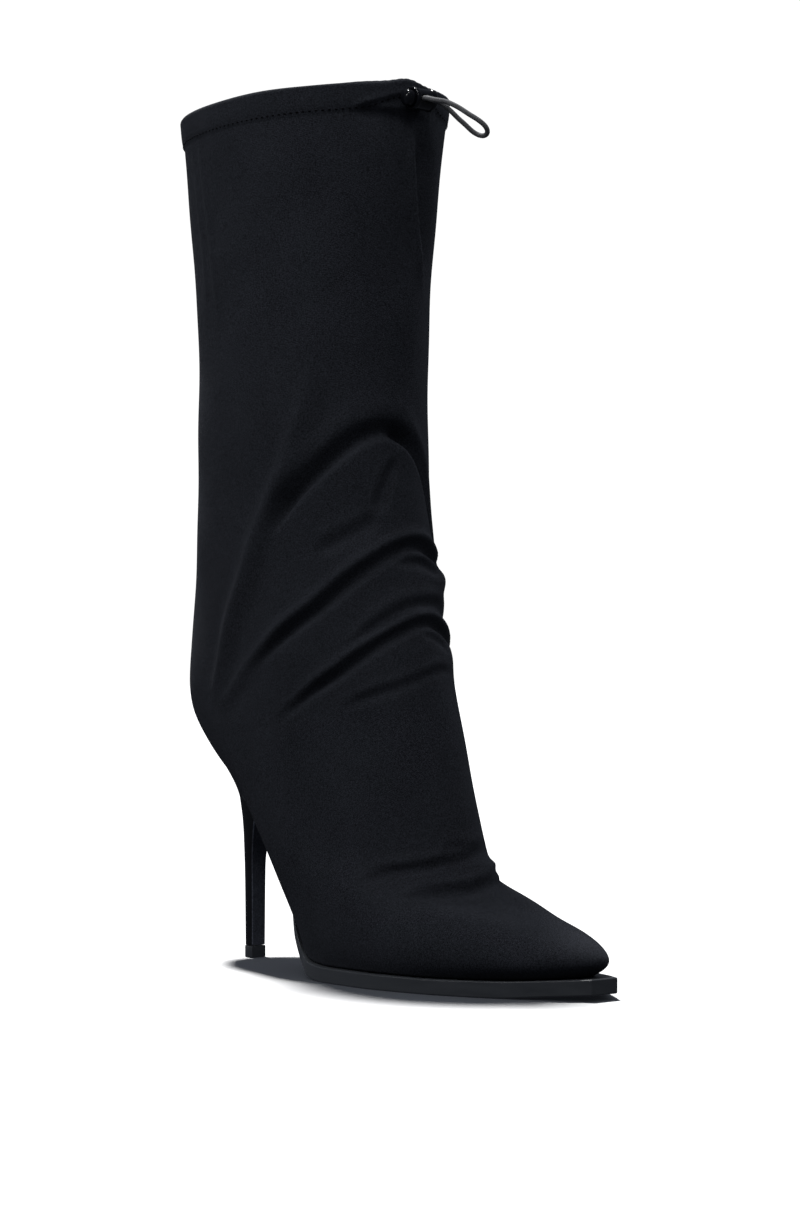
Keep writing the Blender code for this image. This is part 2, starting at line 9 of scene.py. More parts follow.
import bmesh
import bpy
import numpy as np
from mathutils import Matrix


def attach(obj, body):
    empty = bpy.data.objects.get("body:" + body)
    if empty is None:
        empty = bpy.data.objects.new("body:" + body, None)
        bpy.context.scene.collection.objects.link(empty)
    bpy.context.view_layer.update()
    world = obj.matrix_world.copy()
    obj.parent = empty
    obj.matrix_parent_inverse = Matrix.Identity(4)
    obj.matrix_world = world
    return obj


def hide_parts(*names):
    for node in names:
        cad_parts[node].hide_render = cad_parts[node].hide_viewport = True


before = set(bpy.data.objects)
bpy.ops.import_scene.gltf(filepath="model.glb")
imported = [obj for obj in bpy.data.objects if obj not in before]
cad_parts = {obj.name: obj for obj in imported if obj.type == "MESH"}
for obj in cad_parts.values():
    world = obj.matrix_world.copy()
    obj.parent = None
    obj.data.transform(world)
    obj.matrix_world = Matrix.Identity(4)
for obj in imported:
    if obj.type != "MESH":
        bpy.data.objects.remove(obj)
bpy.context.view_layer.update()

# A millimetre in metres, where the part's origin lies in the tables, and the play between pieces
MM = 0.001
ORIGIN_U = 115.9
ORIGIN_X = 0.3
GAP = 0.3
FULL_TURN = 2 * math.pi
NUDGE = 1e-3

# Camera: level, from the lateral front of a right boot
CAMERA_AZIMUTH = math.radians(-40.0)
CAMERA_LOOK = (0.0, 121.8)
CAMERA_DISTANCE = 1165.5
CAMERA_EYE = 130.6
CAMERA_LENS = 89.33
CAMERA_SHIFT_Y = 0.0294

# Upper: the wall, the turned hem at the collar, and the toe's swing to the medial side
WALL = 1.8
HEM_DEPTH = 11.0
HEM_STEP = 0.6
SWING = 4.0
SWING_FROM = 105.0
SWING_TO = 227.0

# The lower edge's fullness between the waist and the ball, lateral and medial, on top of the sections
WAIST_FILL_LATERAL = 6.2
WAIST_FILL_MEDIAL = 2.6
WAIST_FILL_AT = math.radians(84.0)
WAIST_FILL_BACK = math.radians(10.0)
WAIST_FILL_FRONT = math.radians(16.0)
WAIST_FILL_LEVELS = 2.5
STATIONS = (0, 40, 68, 108, 140, 180, 220, 252, 292, 320, 360)
SECTIONS = (
    # name, front u, front z, back u, back z, heel, waist lateral, waist medial, ball, toe, arch
    ("feather", 222.0, 7.6, 11.0, 87.4, 16.6, 18.6, 18.0, 34.5, 22.0, 1.00),
    ("wall", 229.5, 12.5, 4.0, 97.0, 21.2, 25.0, 23.0, 37.5, 24.0, 0.96),
    ("nose", 222.0, 20.0, 0.0, 108.0, 25.2, 29.5, 27.5, 37.5, 23.5, 0.86),
    ("vamp", 196.0, 26.4, 0.5, 121.0, 26.6, 32.0, 30.5, 35.5, 22.5, 0.70),
    ("throat", 171.0, 35.0, 3.0, 135.5, 26.5, 33.5, 32.5, 33.5, 21.5, 0.50),
    ("instep", 155.5, 69.0, 6.5, 152.0, 27.0, 34.5, 34.5, 33.5, 21.5, 0.28),
    ("bend", 143.0, 110.0, 10.5, 170.0, 27.5, 35.5, 35.0, 34.5, 22.0, 0.10),
    ("ankle", 130.5, 155.0, 13.5, 191.0, 28.0, 36.0, 36.5, 35.5, 23.0, 0.00),
    ("low", 122.8, 205.0, 15.0, 222.0, 27.5, 37.0, 37.5, 36.5, 24.0, 0.00),
    ("mid", 124.2, 268.0, 14.0, 273.0, 28.7, 38.4, 38.5, 37.5, 25.0, 0.00),
    ("collar", 130.8, 345.0, 9.3, 340.0, 33.5, 43.5, 44.5, 43.5, 29.0, 0.00),
)
COLLAR = len(SECTIONS) - 1
EVERY_LEVEL = np.linspace(0, COLLAR, 200)
HEM_LEVELS = np.linspace(COLLAR - 0.5, COLLAR, 60)
LOCK_LEVELS = np.linspace(COLLAR - 1, COLLAR, 100)
AROUND = 280
ROW_BANDS = (
    # from level, to level, rows
    (0.0, 1.0, 9),
    (1.0, 4.0, 40),
    (4.0, 5.0, 30),
    (5.0, 8.2, 166),
    (8.2, 9.82, 30),
    (9.82, 10.0, 18),
)
RIM_ROWS = 6
INNER_ROWS = 40

# Creases of the slouched shaft and the toe break. Seen from outside, and walking a path in its order, what is
# on the left counts positive. A crease is a soft ridge beside a trough with a sharp bottom.
CREASES = (
    # name, rise, rise at, rise width, drop, drop at, left width, right width, stations of (angle, height)
    ("arch", 0.7, 9.5, 3.6, 4.5, 0, 6.8, 3, (104, 170.2), (109, 176.4), (116, 183.8), (130, 194.2), (147, 204.7),
     (158, 209.2), (168, 211), (178, 210), (188, 206.3), (196, 201)),
    ("arch leg", 0.4, 6, 3, 4.2, 0, 4.5, 3.1, (168, 211), (178, 210), (188, 206.3), (197, 200), (205, 190.5),
     (212, 178.5), (219, 163.5), (226, 148)),
    ("heel pull", 1.8, 0, 4, 0.8, -10, 6, 12, (58, 106), (62, 113), (73, 135), (86, 156), (96, 172), (108, 187.5),
     (118, 204), (126, 225), (132, 245)),
    ("pleat pull", 1.3, 0, 2.8, 0.4, -7, 4, 6, (63, 102), (70, 108.5), (80, 117.5), (92, 127.5), (105, 137),
     (118, 145)),
    ("medial pull", 1, 0, 2.4, 0.7, 9, 14, 12, (303, 108), (294, 124), (276, 150), (258, 178), (240, 212)),
    ("upper pleat", 1.7, 4.6, 2.4, 2.6, 0, 4.4, 3.4, (84, 115.5), (91, 122), (107, 133), (121, 141), (134, 149),
     (148, 156.5), (164, 163), (178, 166.3), (192, 166.5), (205, 163.5), (217, 158), (234, 148), (256, 134)),
    ("front tuck", 0.8, 3.2, 2.2, 1.4, 0, 3.4, 3.4, (164, 160), (182, 161), (196, 159), (212, 154)),
    ("middle pleat", 0.8, 4.2, 2.8, 1.4, 0, 3.8, 3.4, (126, 123.5), (142, 131.8), (158, 139), (171, 143),
     (188, 144.5), (205, 143.5), (222, 139), (240, 131)),
    ("lower pleat", 1.5, 3.8, 2.2, 2.4, 0, 3.5, 2.9, (97, 98), (101, 101.5), (115, 110.5), (128, 117.6),
     (140, 124.3), (155, 130.6), (172, 135.5), (186, 137), (201, 134.5), (216, 129), (234, 120), (256, 107)),
    ("pouch line", 0.4, 4.4, 3.4, 1.3, 0, 5.4, 5, (124, 163), (134, 167.5), (144, 171), (154, 175), (165, 180)),
    ("pouch dimple", 0.4, 3.6, 2.6, 1.7, 0, 4, 4.4, (159, 178), (164, 186), (170, 194), (177, 203)),
    ("instep line", 0.5, 2.8, 2.6, 1, 0, 3, 3.2, (124, 103), (134, 107), (146, 110.5), (162, 114), (176, 117),
     (193, 119), (212, 117)),
    ("instep nick", 0.4, 2.4, 2, 0.8, 0, 2.8, 2.8, (176, 133), (186, 132), (196, 129), (206, 125)),
    ("toe break top", 0.5, 2.8, 2, 0.7, 0, 2.8, 3, (158, 51), (172, 52), (194, 52), (210, 50)),
    ("toe break high", 0.8, 3, 2.4, 1.2, 0, 3.2, 3.4, (110, 37), (121, 40), (134, 43), (150, 45), (163, 47),
     (180, 49), (193, 50), (212, 48)),
    ("toe break low", 1.2, 4, 2.6, 1.4, 0, 4, 4, (122, 34), (140, 35), (158, 36), (175, 37), (195, 39), (217, 37)),
    ("shin edge", 1.4, 1.8, 2.6, 3, -1.8, 2.4, 15, (204, 262), (195, 280), (189, 294), (184, 313), (180, 331)),
    ("back drape", 0.6, 0, 2, 0.4, 5, 6, 6, (78, 250), (74, 275), (71, 300), (69, 318), (67, 332)),
    ("back drape rear", 0.5, 0, 1.8, 0.3, 4.5, 6, 6, (66, 262), (64, 285), (62, 308), (60, 331)),
    ("lock hollow", 0.3, 4, 3, 1.8, 0, 3.6, 9, (146, 332), (158, 333), (170, 332), (182, 331), (194, 331)),
    ("lock gather", 0.5, 1.8, 1.4, 0.7, 0, 1.8, 2.6, (146, 333.5), (154, 336), (162, 338.2), (170, 339.4),
     (178, 339.5)),
)

# A crease fades and narrows towards its ends, apart from one that runs on from another at its full width
CREASE_SAMPLES = 120
CREASE_REACH = 45.0
CREASE_FADE = 0.25
CREASE_END_WIDTH = 0.45
FULL_WIDTH_CREASES = ("arch leg",)
CREASE_SOFTNESS = 0.7
TROUGH_FULLNESS = 1.2
INNER_CREASE_WIDTH = 11.0

# Pouches of slack cloth that stand out at the front, the last one behind the lock, which sits on it
POUCHES = (
    # angle, height, rise, width round, width up
    (212, 154, 3.1, 11.0, 6.0),
    (206, 124, 1.1, 10.0, 6.0),
    (201, 44.5, 2.2, 8.0, 2.3),
    (199, 39.5, 1.8, 8.0, 2.0),
    (182, 339.0, 1.25, 6.5, 4.2),
)

# Slow unevenness of the cloth
WAVES = 9
WAVE_SEED = 11
WAVE_HEIGHT = 0.32
WAVE_LENGTHS = (26.0, 70.0)

# Hem: the channel's soft swell, the groove of its stitching, and how it is drawn in at the lock
HEM_EDGE_SOFT = 0.9
HEM_SWELL = 0.12
HEM_LIFT_AT_LOCK = 4.6
HEM_LIFT_SPREAD = math.radians(20.0)
STITCH_ABOVE_EDGE = 0.9
STITCH_GROOVE = 0.25
STITCH_GROOVE_WIDTH = 0.9
STITCH_PITCH = 2.6
STITCH_LENGTH = 1.5
STITCH_RADIUS = 0.26
STITCH_SIDES = 8
STITCH_RINGS = 7
STITCH_LINE_POINTS = 721
COLLAR_SINK = 1.5
COLLAR_PEAK = 2.0
COLLAR_PEAK_AT = math.radians(176.0)
COLLAR_PEAK_SPREAD = math.radians(9.0)
COLLAR_PEAK_REACH = 14.0
PUCKER = 0.3
PUCKER_PITCH = 3.2
PUCKER_SPREAD = 15.0
PUCKER_REACH = 16.0
PUCKER_CALMED = 0.7
FRONT_FROM_U = 100.0
LOCK_SEAT = 0.9
# x and the distance below the collar
LOCK_SEAT_AT = (-1.5, 6.5)
LOCK_SEAT_REACH = (9.0, 8.0)

# Line of the last's underside, which the sole's top and the heel seat follow
LAST_LINE = (
    # u, z
    (0.0, 91.5), (11.0, 87.4), (26.0, 81.0), (47.0, 67.5), (64.0, 50.0), (79.0, 31.5), (89.0, 18.5),
    (98.0, 10.0), (109.0, 6.5), (122.0, 5.8), (168.0, 5.8), (200.0, 6.3), (222.0, 7.6),
    (233.0, 8.4),
)

# Sole: edges and underside, from the heel breast to the squared tip
SOLE = (
    # u, lateral x, medial x, bottom z
    (42.3, -17.0, 16.9, 67.0),
    (52.0, -17.0, 16.7, 59.0),
    (64.0, -17.2, 16.6, 46.0),
    (79.0, -20.6, 18.4, 27.3),
    (89.0, -26.2, 22.0, 13.5),
    (98.0, -29.9, 26.0, 4.9),
    (107.0, -34.2, 31.0, 1.0),
    (122.0, -37.5, 35.5, 0.0),
    (142.0, -38.0, 38.0, 0.0),
    (170.0, -33.5, 37.0, 0.0),
    (198.0, -22.5, 30.0, 0.0),
    (216.0, -11.5, 21.0, 1.2),
    (232.0, -2.2, 10.6, 2.4),
)
SOLE_STATIONS = 193
SOLE_EDGE_ROUND = 0.7

# Insole: a board inside the lower edge, thinner at its rounded sides
INSOLE_THICK = 2.0
INSOLE_SIDE = 0.55
INSOLE_INSET = 2.6
INSOLE_GAP = 0.5
INSOLE_STATIONS = 90
INSOLE_ACROSS = 17

# Heel: a D-shaped stem with a flat breast, and the flare from its top to the seat
STEM = (
    # z, half width, half depth, centre u
    (5.2, 3.7, 4.4, 29.0),
    (30.0, 3.9, 4.7, 29.0),
    (50.0, 4.3, 5.2, 28.8),
    (65.0, 4.9, 6.0, 28.0),
)
STEM_ROWS = 46
FLARE_ROWS = 24
FLARE_POWER = 1.4
BREAST_U = 42.0
BREAST_CORNER = math.radians(121.0)
BREAST_START = 36.0
BREAST_POWER = 2.3
BREAST_SHARE = (0.30, 0.985, 0.0)
BREAST_BEGINS = 0.45
BREAST_POINTS = 25
HEEL_BACK_POINTS = 81
CORNER_PASSES = 3
CORNER_WELT = 0.16
CORNER_WELT_FADE = 0.6
TIP_HEIGHT = STEM[0][0] - GAP
TIP_MARGIN = 0.25
TIP_EDGE = 0.35

# Cord lock: a barrel across the front of the hem, with a plunger that slides in its bore
LOCK_RADIUS = 4.4
LOCK_WAIST_RADIUS = 4.1
LOCK_FLANGE = 1.6
LOCK_FLANGE_SLOPE = 0.4
LOCK_HEIGHT = 338.6
LOCK_LATERAL_X = -6.0
LOCK_MEDIAL_X = 4.4
BORE_RADIUS = 3.4
BORE_END_X = 3.2
PLUNGER_RADIUS = 3.1
PLUNGER_PROUD = 3.7
PLUNGER_DOME = 1.6
PLUNGER_EDGE = 0.2
PLUNGER_END_X = 0.2
PLUNGER_TRAVEL = 2.0
SLOT_X = -1.6
SLOT_LENGTH = 4.6
SLOT_HEIGHT = 2.6
SLOT_POINTS = 48
TURNED_STEPS = 96
FILLET_STEPS = 5
DOME_STEPS = 17

# Drawcord: a loop that leaves the lock's slot and returns to it
CORD_DIAMETER = 1.9
CORD_SAMPLES = 1200
CORD_RINGS = 260
CORD_SIDES = 32
BRAID_STRANDS = 8
BRAID_PITCH = 3.4
BRAID_DEPTH = 0.05
CORD_ROUTE = (
    # x, u, z
    (-2.65, 139.2, 338.4), (-2.6, 141.2, 338.2), (-1.8, 143.3, 337.5), (-0.3, 145.3, 337.0),
    (1.5, 147.4, 336.4), (3.1, 149.6, 335.2), (5.0, 151.9, 333.5), (7.1, 154.2, 331.4),
    (9.3, 156.1, 329.6), (11.8, 157.5, 327.5), (13.85, 157.15, 325.75), (15.1, 155.55, 324.6),
    (15.45, 153.35, 324.15), (14.75, 151.05, 324.7), (12.95, 149.25, 326.3),
    (10.65, 147.95, 328.65), (8.5, 146.5, 330.9), (6.7, 145.6, 332.8), (5.2, 144.9, 334.2),
    (3.7, 144.3, 335.4), (2.2, 143.6, 336.4), (0.8, 142.7, 337.2), (-0.2, 141.15, 337.9),
    (-0.55, 139.2, 338.4),
)

# Colours are linear
FABRIC_COLOUR = (0.0101, 0.0111, 0.0139)
HEEL_COLOUR = (0.0040, 0.0044, 0.0056)
# The heel's colour is multiplied by these: painted light on the breast, and a painted highlight along its corners
BREAST_PAINTED_LIGHT = 9.5
CORNER_PAINTED_HIGHLIGHT = 27.0
RUBBER_COLOUR = (0.0200, 0.0218, 0.0250)
LINING_COLOUR = (0.0190, 0.0185, 0.0190)
PLASTIC_COLOUR = (0.0020, 0.0022, 0.0031)
CORD_COLOUR = (0.0520, 0.0530, 0.0560)
THREAD_COLOUR = (0.0016, 0.0016, 0.0020)
FLOOR_COLOUR = (0.94, 0.94, 0.94)
SHEEN_TINT = (0.80, 0.84, 1.0, 1)

# Fabric: noises are scale and detail, and for streaks stretch; the weave's pitch and bumps are millimetres
NOISE_RANGE = (0.3, 0.7)
GRAIN = (1900.0, 1.5)
CLOUDS = (45.0, 2.0)
CLOUDS_SHARE = 0.15
FABRIC_CONTRAST = 0.6
FABRIC_SHEEN = 0.012
FABRIC_SHEEN_ROUGHNESS = 0.45
FABRIC_ROUGHNESS = (0.84, 0.96)
FABRIC_SPECULAR = 0.06
HEEL_ROUGHNESS = (0.44, 0.60)
HEEL_SPECULAR = 0.13
WEAVE_PITCH = 0.7
LINING_PITCH = 0.9
WEAVE_SHARE = 0.35
WEAVE_BUMP = 0.09

# Satin rubber with rubbed streaks, gloss plastic with a slight ripple, braided cord and twisted thread
STREAKS = (160.0, 3.0, (1.0, 0.25, 2.5))
RIPPLE = (420.0, 2.0)
FIBRE = (2600.0, 3.0)
TWIST = (2400.0, 2.0)
PLAIN_SHEEN_ROUGHNESS = 0.4
MATERIALS = {
    # name: colour, its noise and contrast, roughness noise and range, bump noise and height, specular, sheen
    "rubber": (RUBBER_COLOUR, STREAKS, 0.12, STREAKS, (0.34, 0.50), (1400.0, 3.0), 0.03, 0.5, 0.0),
    "plastic": (PLASTIC_COLOUR, RIPPLE, 0.15, (900.0, 4.0), (0.12, 0.26), RIPPLE, 0.012, 0.24, 0.0),
    "cord": (CORD_COLOUR, (500.0, 2.0), 0.25, FIBRE, (0.55, 0.80), FIBRE, 0.05, 0.3, 0.08),
    "thread": (THREAD_COLOUR, TWIST, 0.30, TWIST, (0.45, 0.70), TWIST, 0.05, 0.05, 0.0),
}

# Light, in metres and watts: surroundings that are dim to the boot and white to the camera, a sun and softboxes
FLOOR_HALF = 6.0
DIM_WORLD = ((0.86, 0.94, 1.12, 1), 0.08)
WHITE_WORLD = ((1, 1, 1, 1), 1.05)
LIGHT_AIM = 0.30
# name, azimuth, elevation, strength, angle across
SUN = ("overhead", 170.0, 74.0, 5.0, 5.0)
SOFTBOXES = (
    # name, azimuth, elevation, distance, size, power, seen in gloss
    ("key", -48.0, 48.0, 1.0, 0.45, 6.2, False),
    ("front", 28.0, 34.0, 1.2, 0.5, 4.0, False),
    ("side", -125.0, 20.0, 1.2, 0.5, 9.0, False),
    ("fill", -30.0, 4.0, 1.4, 0.5, 2.6, False),
    ("medial", 95.0, 25.0, 1.2, 0.5, 12.0, False),
    ("rear", 175.0, 25.0, 1.2, 0.5, 7.0, False),
    ("catch", -75.0, 50.0, 1.2, 0.10, 2.4, True),
    ("glint", -105.0, 24.0, 1.2, 0.08, 1.2, True),
)


def spline_weights(at, knots, closed=False):
    """Weights of the knots' values at each place in a cubic spline, free at its ends or closed on itself."""
    at = np.asarray(at, float)
    knots = np.asarray(knots, float)
    count = len(knots)
    step = np.diff(knots)
    system = np.eye(count)
    right = np.zeros((count, count))
    for i in range(1, count - 1):
        a, b = step[i - 1], step[i]
        system[i, i - 1 : i + 2] = a, 2 * (a + b), b
        right[i, i - 1 : i + 2] = 6 / a, -6 / a - 6 / b, 6 / b
    if closed:
        first, last = step[0], step[-1]
        system[0, -1] = -1
        system[-1] = 0
        system[-1, :2] = 2 * first, first
        system[-1, -2:] += last, 2 * last
        right[-1, :2] = -6 / first, 6 / first
        right[-1, -2:] += 6 / last, -6 / last
    bend = np.linalg.solve(system, right)
    value = np.eye(count)
    i = np.clip(np.searchsorted(knots, at, side="right") - 1, 0, count - 2)
    span = step[i][..., None]
    before = (at - knots[i])[..., None]
    after = span - before
    cubic = (bend[i] * after**3 + bend[i + 1] * before**3) / (6 * span)
    start = (value[i] / span - bend[i] * span / 6) * after
    end = (value[i + 1] / span - bend[i + 1] * span / 6) * before
    return cubic + start + end


def spline(at, values):
    """Cubic spline through evenly counted values."""
    return spline_weights(at, range(len(values))) @ np.asarray(values, float)


def monotone(at, knots, values):
    """Smooth curve through the knots that never passes beyond them."""
    knots = np.asarray(knots, float)
    values = np.asarray(values, float)
    step = np.diff(knots)
    slope = np.diff(values) / step
    product = slope[1:] * slope[:-1]
    total = slope[1:] + slope[:-1]
    inner = np.where(product > 0, 2 * product / np.where(total == 0, 1, total), 0)
    tangent = np.concatenate([slope[:1], inner, slope[-1:]])
    i = np.clip(np.searchsorted(knots, at, side="right") - 1, 0, len(knots) - 2)
    f = (at - knots[i]) / step[i]
    start = (2 * f**3 - 3 * f**2 + 1) * values[i] + (f**3 - 2 * f**2 + f) * step[i] * tangent[i]
    end = (3 * f**2 - 2 * f**3) * values[i + 1] + (f**3 - f**2) * step[i] * tangent[i + 1]
    return start + end


def smooth_step(x):
    """From 0 at x = 0 to 1 at x = 1, level at both ends."""
    x = np.clip(x, 0, 1)
    return x * x * (3 - 2 * x)


def unit(vectors):
    """Vectors made one long."""
    return vectors / np.linalg.norm(vectors, axis=-1, keepdims=True)


def circle(count):
    """Angles of evenly spaced points round a circle."""
    return np.linspace(0, FULL_TURN, count, endpoint=False)


def run_along(line):
    """How far along a line each of its points lies."""
    return np.concatenate([[0], np.cumsum(np.linalg.norm(np.diff(line, axis=0), axis=1))])


def point_at(length, run, line):
    """The points of a line at distances along it."""
    return np.stack([np.interp(length, run, column) for column in line.T], axis=-1)


def last_line(u):
    """Height of the last's underside at u."""
    return monotone(u, *zip(*LAST_LINE))


def waist_fill(level, turn):
    """How far the sections stand out sideways near the lower edge, between the waist and the ball."""
    fade = np.clip(1 - level / WAIST_FILL_LEVELS, 0, 1) ** 2
    total = 0
    for side, most in ((turn, -WAIST_FILL_LATERAL), (FULL_TURN - turn, WAIST_FILL_MEDIAL)):
        apart = side - WAIST_FILL_AT
        total = total + most * np.exp(-((apart / np.where(apart < 0, WAIST_FILL_BACK, WAIST_FILL_FRONT)) ** 2))
    return total * fade


def upper_base(level, angle):
    """The upper without folds, as points (x, u, z): level counts sections from the feather edge."""
    level, angle = np.broadcast_arrays(np.asarray(level, float), np.asarray(angle, float))
    table = np.array([row[1:] for row in SECTIONS])
    columns = np.moveaxis(spline_weights(level, range(len(SECTIONS))) @ table, -1, 0)
    front_u, front_z, back_u, back_z, heel, waist_lateral, waist_medial, ball, toe, arch = columns
    turn = np.mod(angle, FULL_TURN)
    none = np.zeros_like(heel)
    widths = (none, -heel, -waist_lateral, -ball, -toe, none, toe, ball, waist_medial, heel, none)
    x = np.sum(spline_weights(turn, np.radians(STATIONS), closed=True) * np.stack(widths, axis=-1), axis=-1)
    share = (1 - np.cos(turn)) / 2
    u = back_u + (front_u - back_u) * share
    feather_front_u, feather_front_z, feather_back_u, feather_back_z = SECTIONS[0][1:5]
    feather_line = last_line(feather_back_u + (feather_front_u - feather_back_u) * share)
    feather_chord = feather_back_z + (feather_front_z - feather_back_z) * share
    z = back_z + (front_z - back_z) * share + arch * (feather_line - feather_chord) + GAP
    swing = SWING * np.clip((u - SWING_FROM) / (SWING_TO - SWING_FROM), 0, None) ** 2
    return np.stack([x + swing + waist_fill(level, turn), u, z], axis=-1)


def upper_normal(level, angle):
    """Direction out of the upper's smooth surface."""
    level = np.clip(level, NUDGE, COLLAR - NUDGE)
    round_it = upper_base(level, angle + NUDGE) - upper_base(level, angle - NUDGE)
    up_it = upper_base(level + NUDGE, angle) - upper_base(level - NUDGE, angle)
    return unit(np.cross(up_it, round_it))


def crease_path(path):
    """Places along a crease on the smooth upper, with the directions along it and to its left."""
    angles, heights = spline(np.linspace(0, len(path) - 1, CREASE_SAMPLES), path).T
    angles = np.radians(angles)
    levels = []
    for angle, height in zip(angles, heights):
        levels.append(np.interp(height, upper_base(EVERY_LEVEL, angle)[:, 2], EVERY_LEVEL))
    levels = np.array(levels)
    places = upper_base(levels, angles)
    along = unit(np.gradient(places, axis=0))
    return places, along, unit(np.cross(along, upper_normal(levels, angles)))


def crease_height(points, inner):
    """How far the creases lift or sink the upper at each point. The inner side only gets their broad sinks."""
    total = np.zeros(len(points))
    for name, rise, rise_at, rise_width, drop, drop_at, left_width, right_width, *path in CREASES:
        places, along, left = crease_path(path)
        low, high = places.min(axis=0) - CREASE_REACH, places.max(axis=0) + CREASE_REACH
        chosen = np.flatnonzero(np.all((points > low) & (points < high), axis=1))
        spots = points[chosen]
        near = np.argmin(np.linalg.norm(spots[:, None] - places, axis=2), axis=1)
        offset = spots - places[near]
        run = np.sum(offset * along[near], axis=1)
        across = np.linalg.norm(offset - run[:, None] * along[near], axis=1)
        side = np.copysign(across, np.sum(offset * left[near], axis=1))
        part = near / (CREASE_SAMPLES - 1)
        fade = smooth_step(np.minimum(part, 1 - part) / CREASE_FADE)
        if inner:
            lift = -drop * np.exp(-((side - drop_at) / INNER_CREASE_WIDTH) ** 2)
        else:
            apart = side - drop_at
            soft = np.hypot(apart, CREASE_SOFTNESS) - CREASE_SOFTNESS
            end_width = 1.0 if name in FULL_WIDTH_CREASES else CREASE_END_WIDTH
            narrow = end_width + (1 - end_width) * fade
            depth = np.clip(1 - soft / (narrow * np.where(apart > 0, left_width, right_width)), 0, 1)
            trough = drop * depth**2 * (1 + TROUGH_FULLNESS * (1 - depth))
            lift = rise * np.exp(-(((side - rise_at * narrow) / (rise_width * narrow)) ** 2)) - trough
        total[chosen] += fade * lift
    return total


def pouch_height(points):
    """How far the front's slack pouches stand out at each point."""
    total = np.zeros(len(points))
    for angle, height, rise, wide, tall in POUCHES:
        line = upper_base(EVERY_LEVEL, math.radians(angle))
        x, u, z = point_at(height, line[:, 2], line)
        apart = np.hypot(points[:, 0] - x, points[:, 1] - u) / wide
        total += rise * np.exp(-(apart**2) - ((points[:, 2] - z) / tall) ** 2)
    return total


def cloth_waves(points):
    """Slow unevenness of the stretched cloth."""
    draw = np.random.RandomState(WAVE_SEED)
    total = np.zeros(len(points))
    for _ in range(WAVES):
        way = unit(draw.normal(size=3))
        length = draw.uniform(*WAVE_LENGTHS)
        total += np.sin(FULL_TURN * (points @ way) / length + draw.uniform(0, FULL_TURN))
    return WAVE_HEIGHT * total / math.sqrt(WAVES)


def below_collar(points, angle):
    """Distance of each point below the collar's edge."""
    return upper_base(np.full(len(points), float(COLLAR)), angle)[:, 2] - points[:, 2]


def hem_edge(angle):
    """How far below the collar the hem's lower edge runs: it rises towards the lock."""
    from_front = np.abs(np.mod(angle, FULL_TURN) - math.pi)
    return HEM_DEPTH - HEM_LIFT_AT_LOCK / (1 + (from_front / HEM_LIFT_SPREAD) ** 6)


def hem_height(points, angle):
    """The hem's step and swell, the groove of its stitching, and the puckers and hollow seat at the lock."""
    below = below_collar(points, angle)
    edge = hem_edge(angle)
    step = HEM_STEP * smooth_step((edge - below) / HEM_EDGE_SOFT + 0.5)
    swell = HEM_SWELL * np.sin(np.pi * np.clip(below / edge, 0, 1)) ** 2
    groove = STITCH_GROOVE * np.exp(-(((below - edge + STITCH_ABOVE_EDGE) / STITCH_GROOVE_WIDTH) ** 2))
    x, u, _ = points.T
    gather = np.exp(-((x / PUCKER_SPREAD) ** 2) - (below / PUCKER_REACH) ** 2)
    pucker = PUCKER * np.cos(FULL_TURN * x / PUCKER_PITCH) * gather
    (seat_x, seat_below), (wide, tall) = LOCK_SEAT_AT, LOCK_SEAT_REACH
    at_lock = np.exp(-(((x - seat_x) / wide) ** 4) - ((below - seat_below) / tall) ** 4)
    at_front = pucker * (1 - PUCKER_CALMED * at_lock) - LOCK_SEAT * at_lock
    return step + swell - groove + np.where(u > FRONT_FROM_U, at_front, 0)


def collar_shift(below, angle):
    """How far the collar's edge stands above or below its smooth line: it peaks behind the lock."""
    turn = np.mod(angle, FULL_TURN)
    peak = COLLAR_PEAK * np.exp(-(((turn - COLLAR_PEAK_AT) / COLLAR_PEAK_SPREAD) ** 2))
    return (peak - COLLAR_SINK) * smooth_step(1 - below / COLLAR_PEAK_REACH)


def upper_surface(level, angle, inner=False):
    """Points of the finished upper's outer side, or what its inner side is offset from, and their normals."""
    base = upper_base(level, angle)
    normal = upper_normal(level, angle)
    lift = crease_height(base, inner)
    if not inner:
        lift += pouch_height(base) + cloth_waves(base) * smooth_step(level) + hem_height(base, angle)
    points = base + normal * lift[:, None]
    points[:, 2] += collar_shift(below_collar(base, angle), angle)
    return points, normal


def place(points):
    """Points (x, u, z) in millimetres, in the frame of the part in metres."""
    x, u, z = np.moveaxis(np.asarray(points, float), -1, 0)
    return np.stack([x - ORIGIN_X, ORIGIN_U - u, z], axis=-1) * MM


def ring_quads(rings, around, closed=False):
    """Quads between neighbouring closed rings of the same count, and from the last to the first if closed."""
    row, turn = np.meshgrid(np.arange(rings if closed else rings - 1), np.arange(around), indexing="ij")
    after = (turn + 1) % around
    first = row * around
    above = (row + 1) % rings * around
    return np.stack([first + turn, first + after, above + after, above + turn], axis=-1).reshape(-1, 4)


def capped(rings, around):
    """Quads between neighbouring rings, and a face each over the first and the last."""
    last = (rings - 1) * around
    return ring_quads(rings, around).tolist() + [list(range(around)), list(range(last, last + around))]


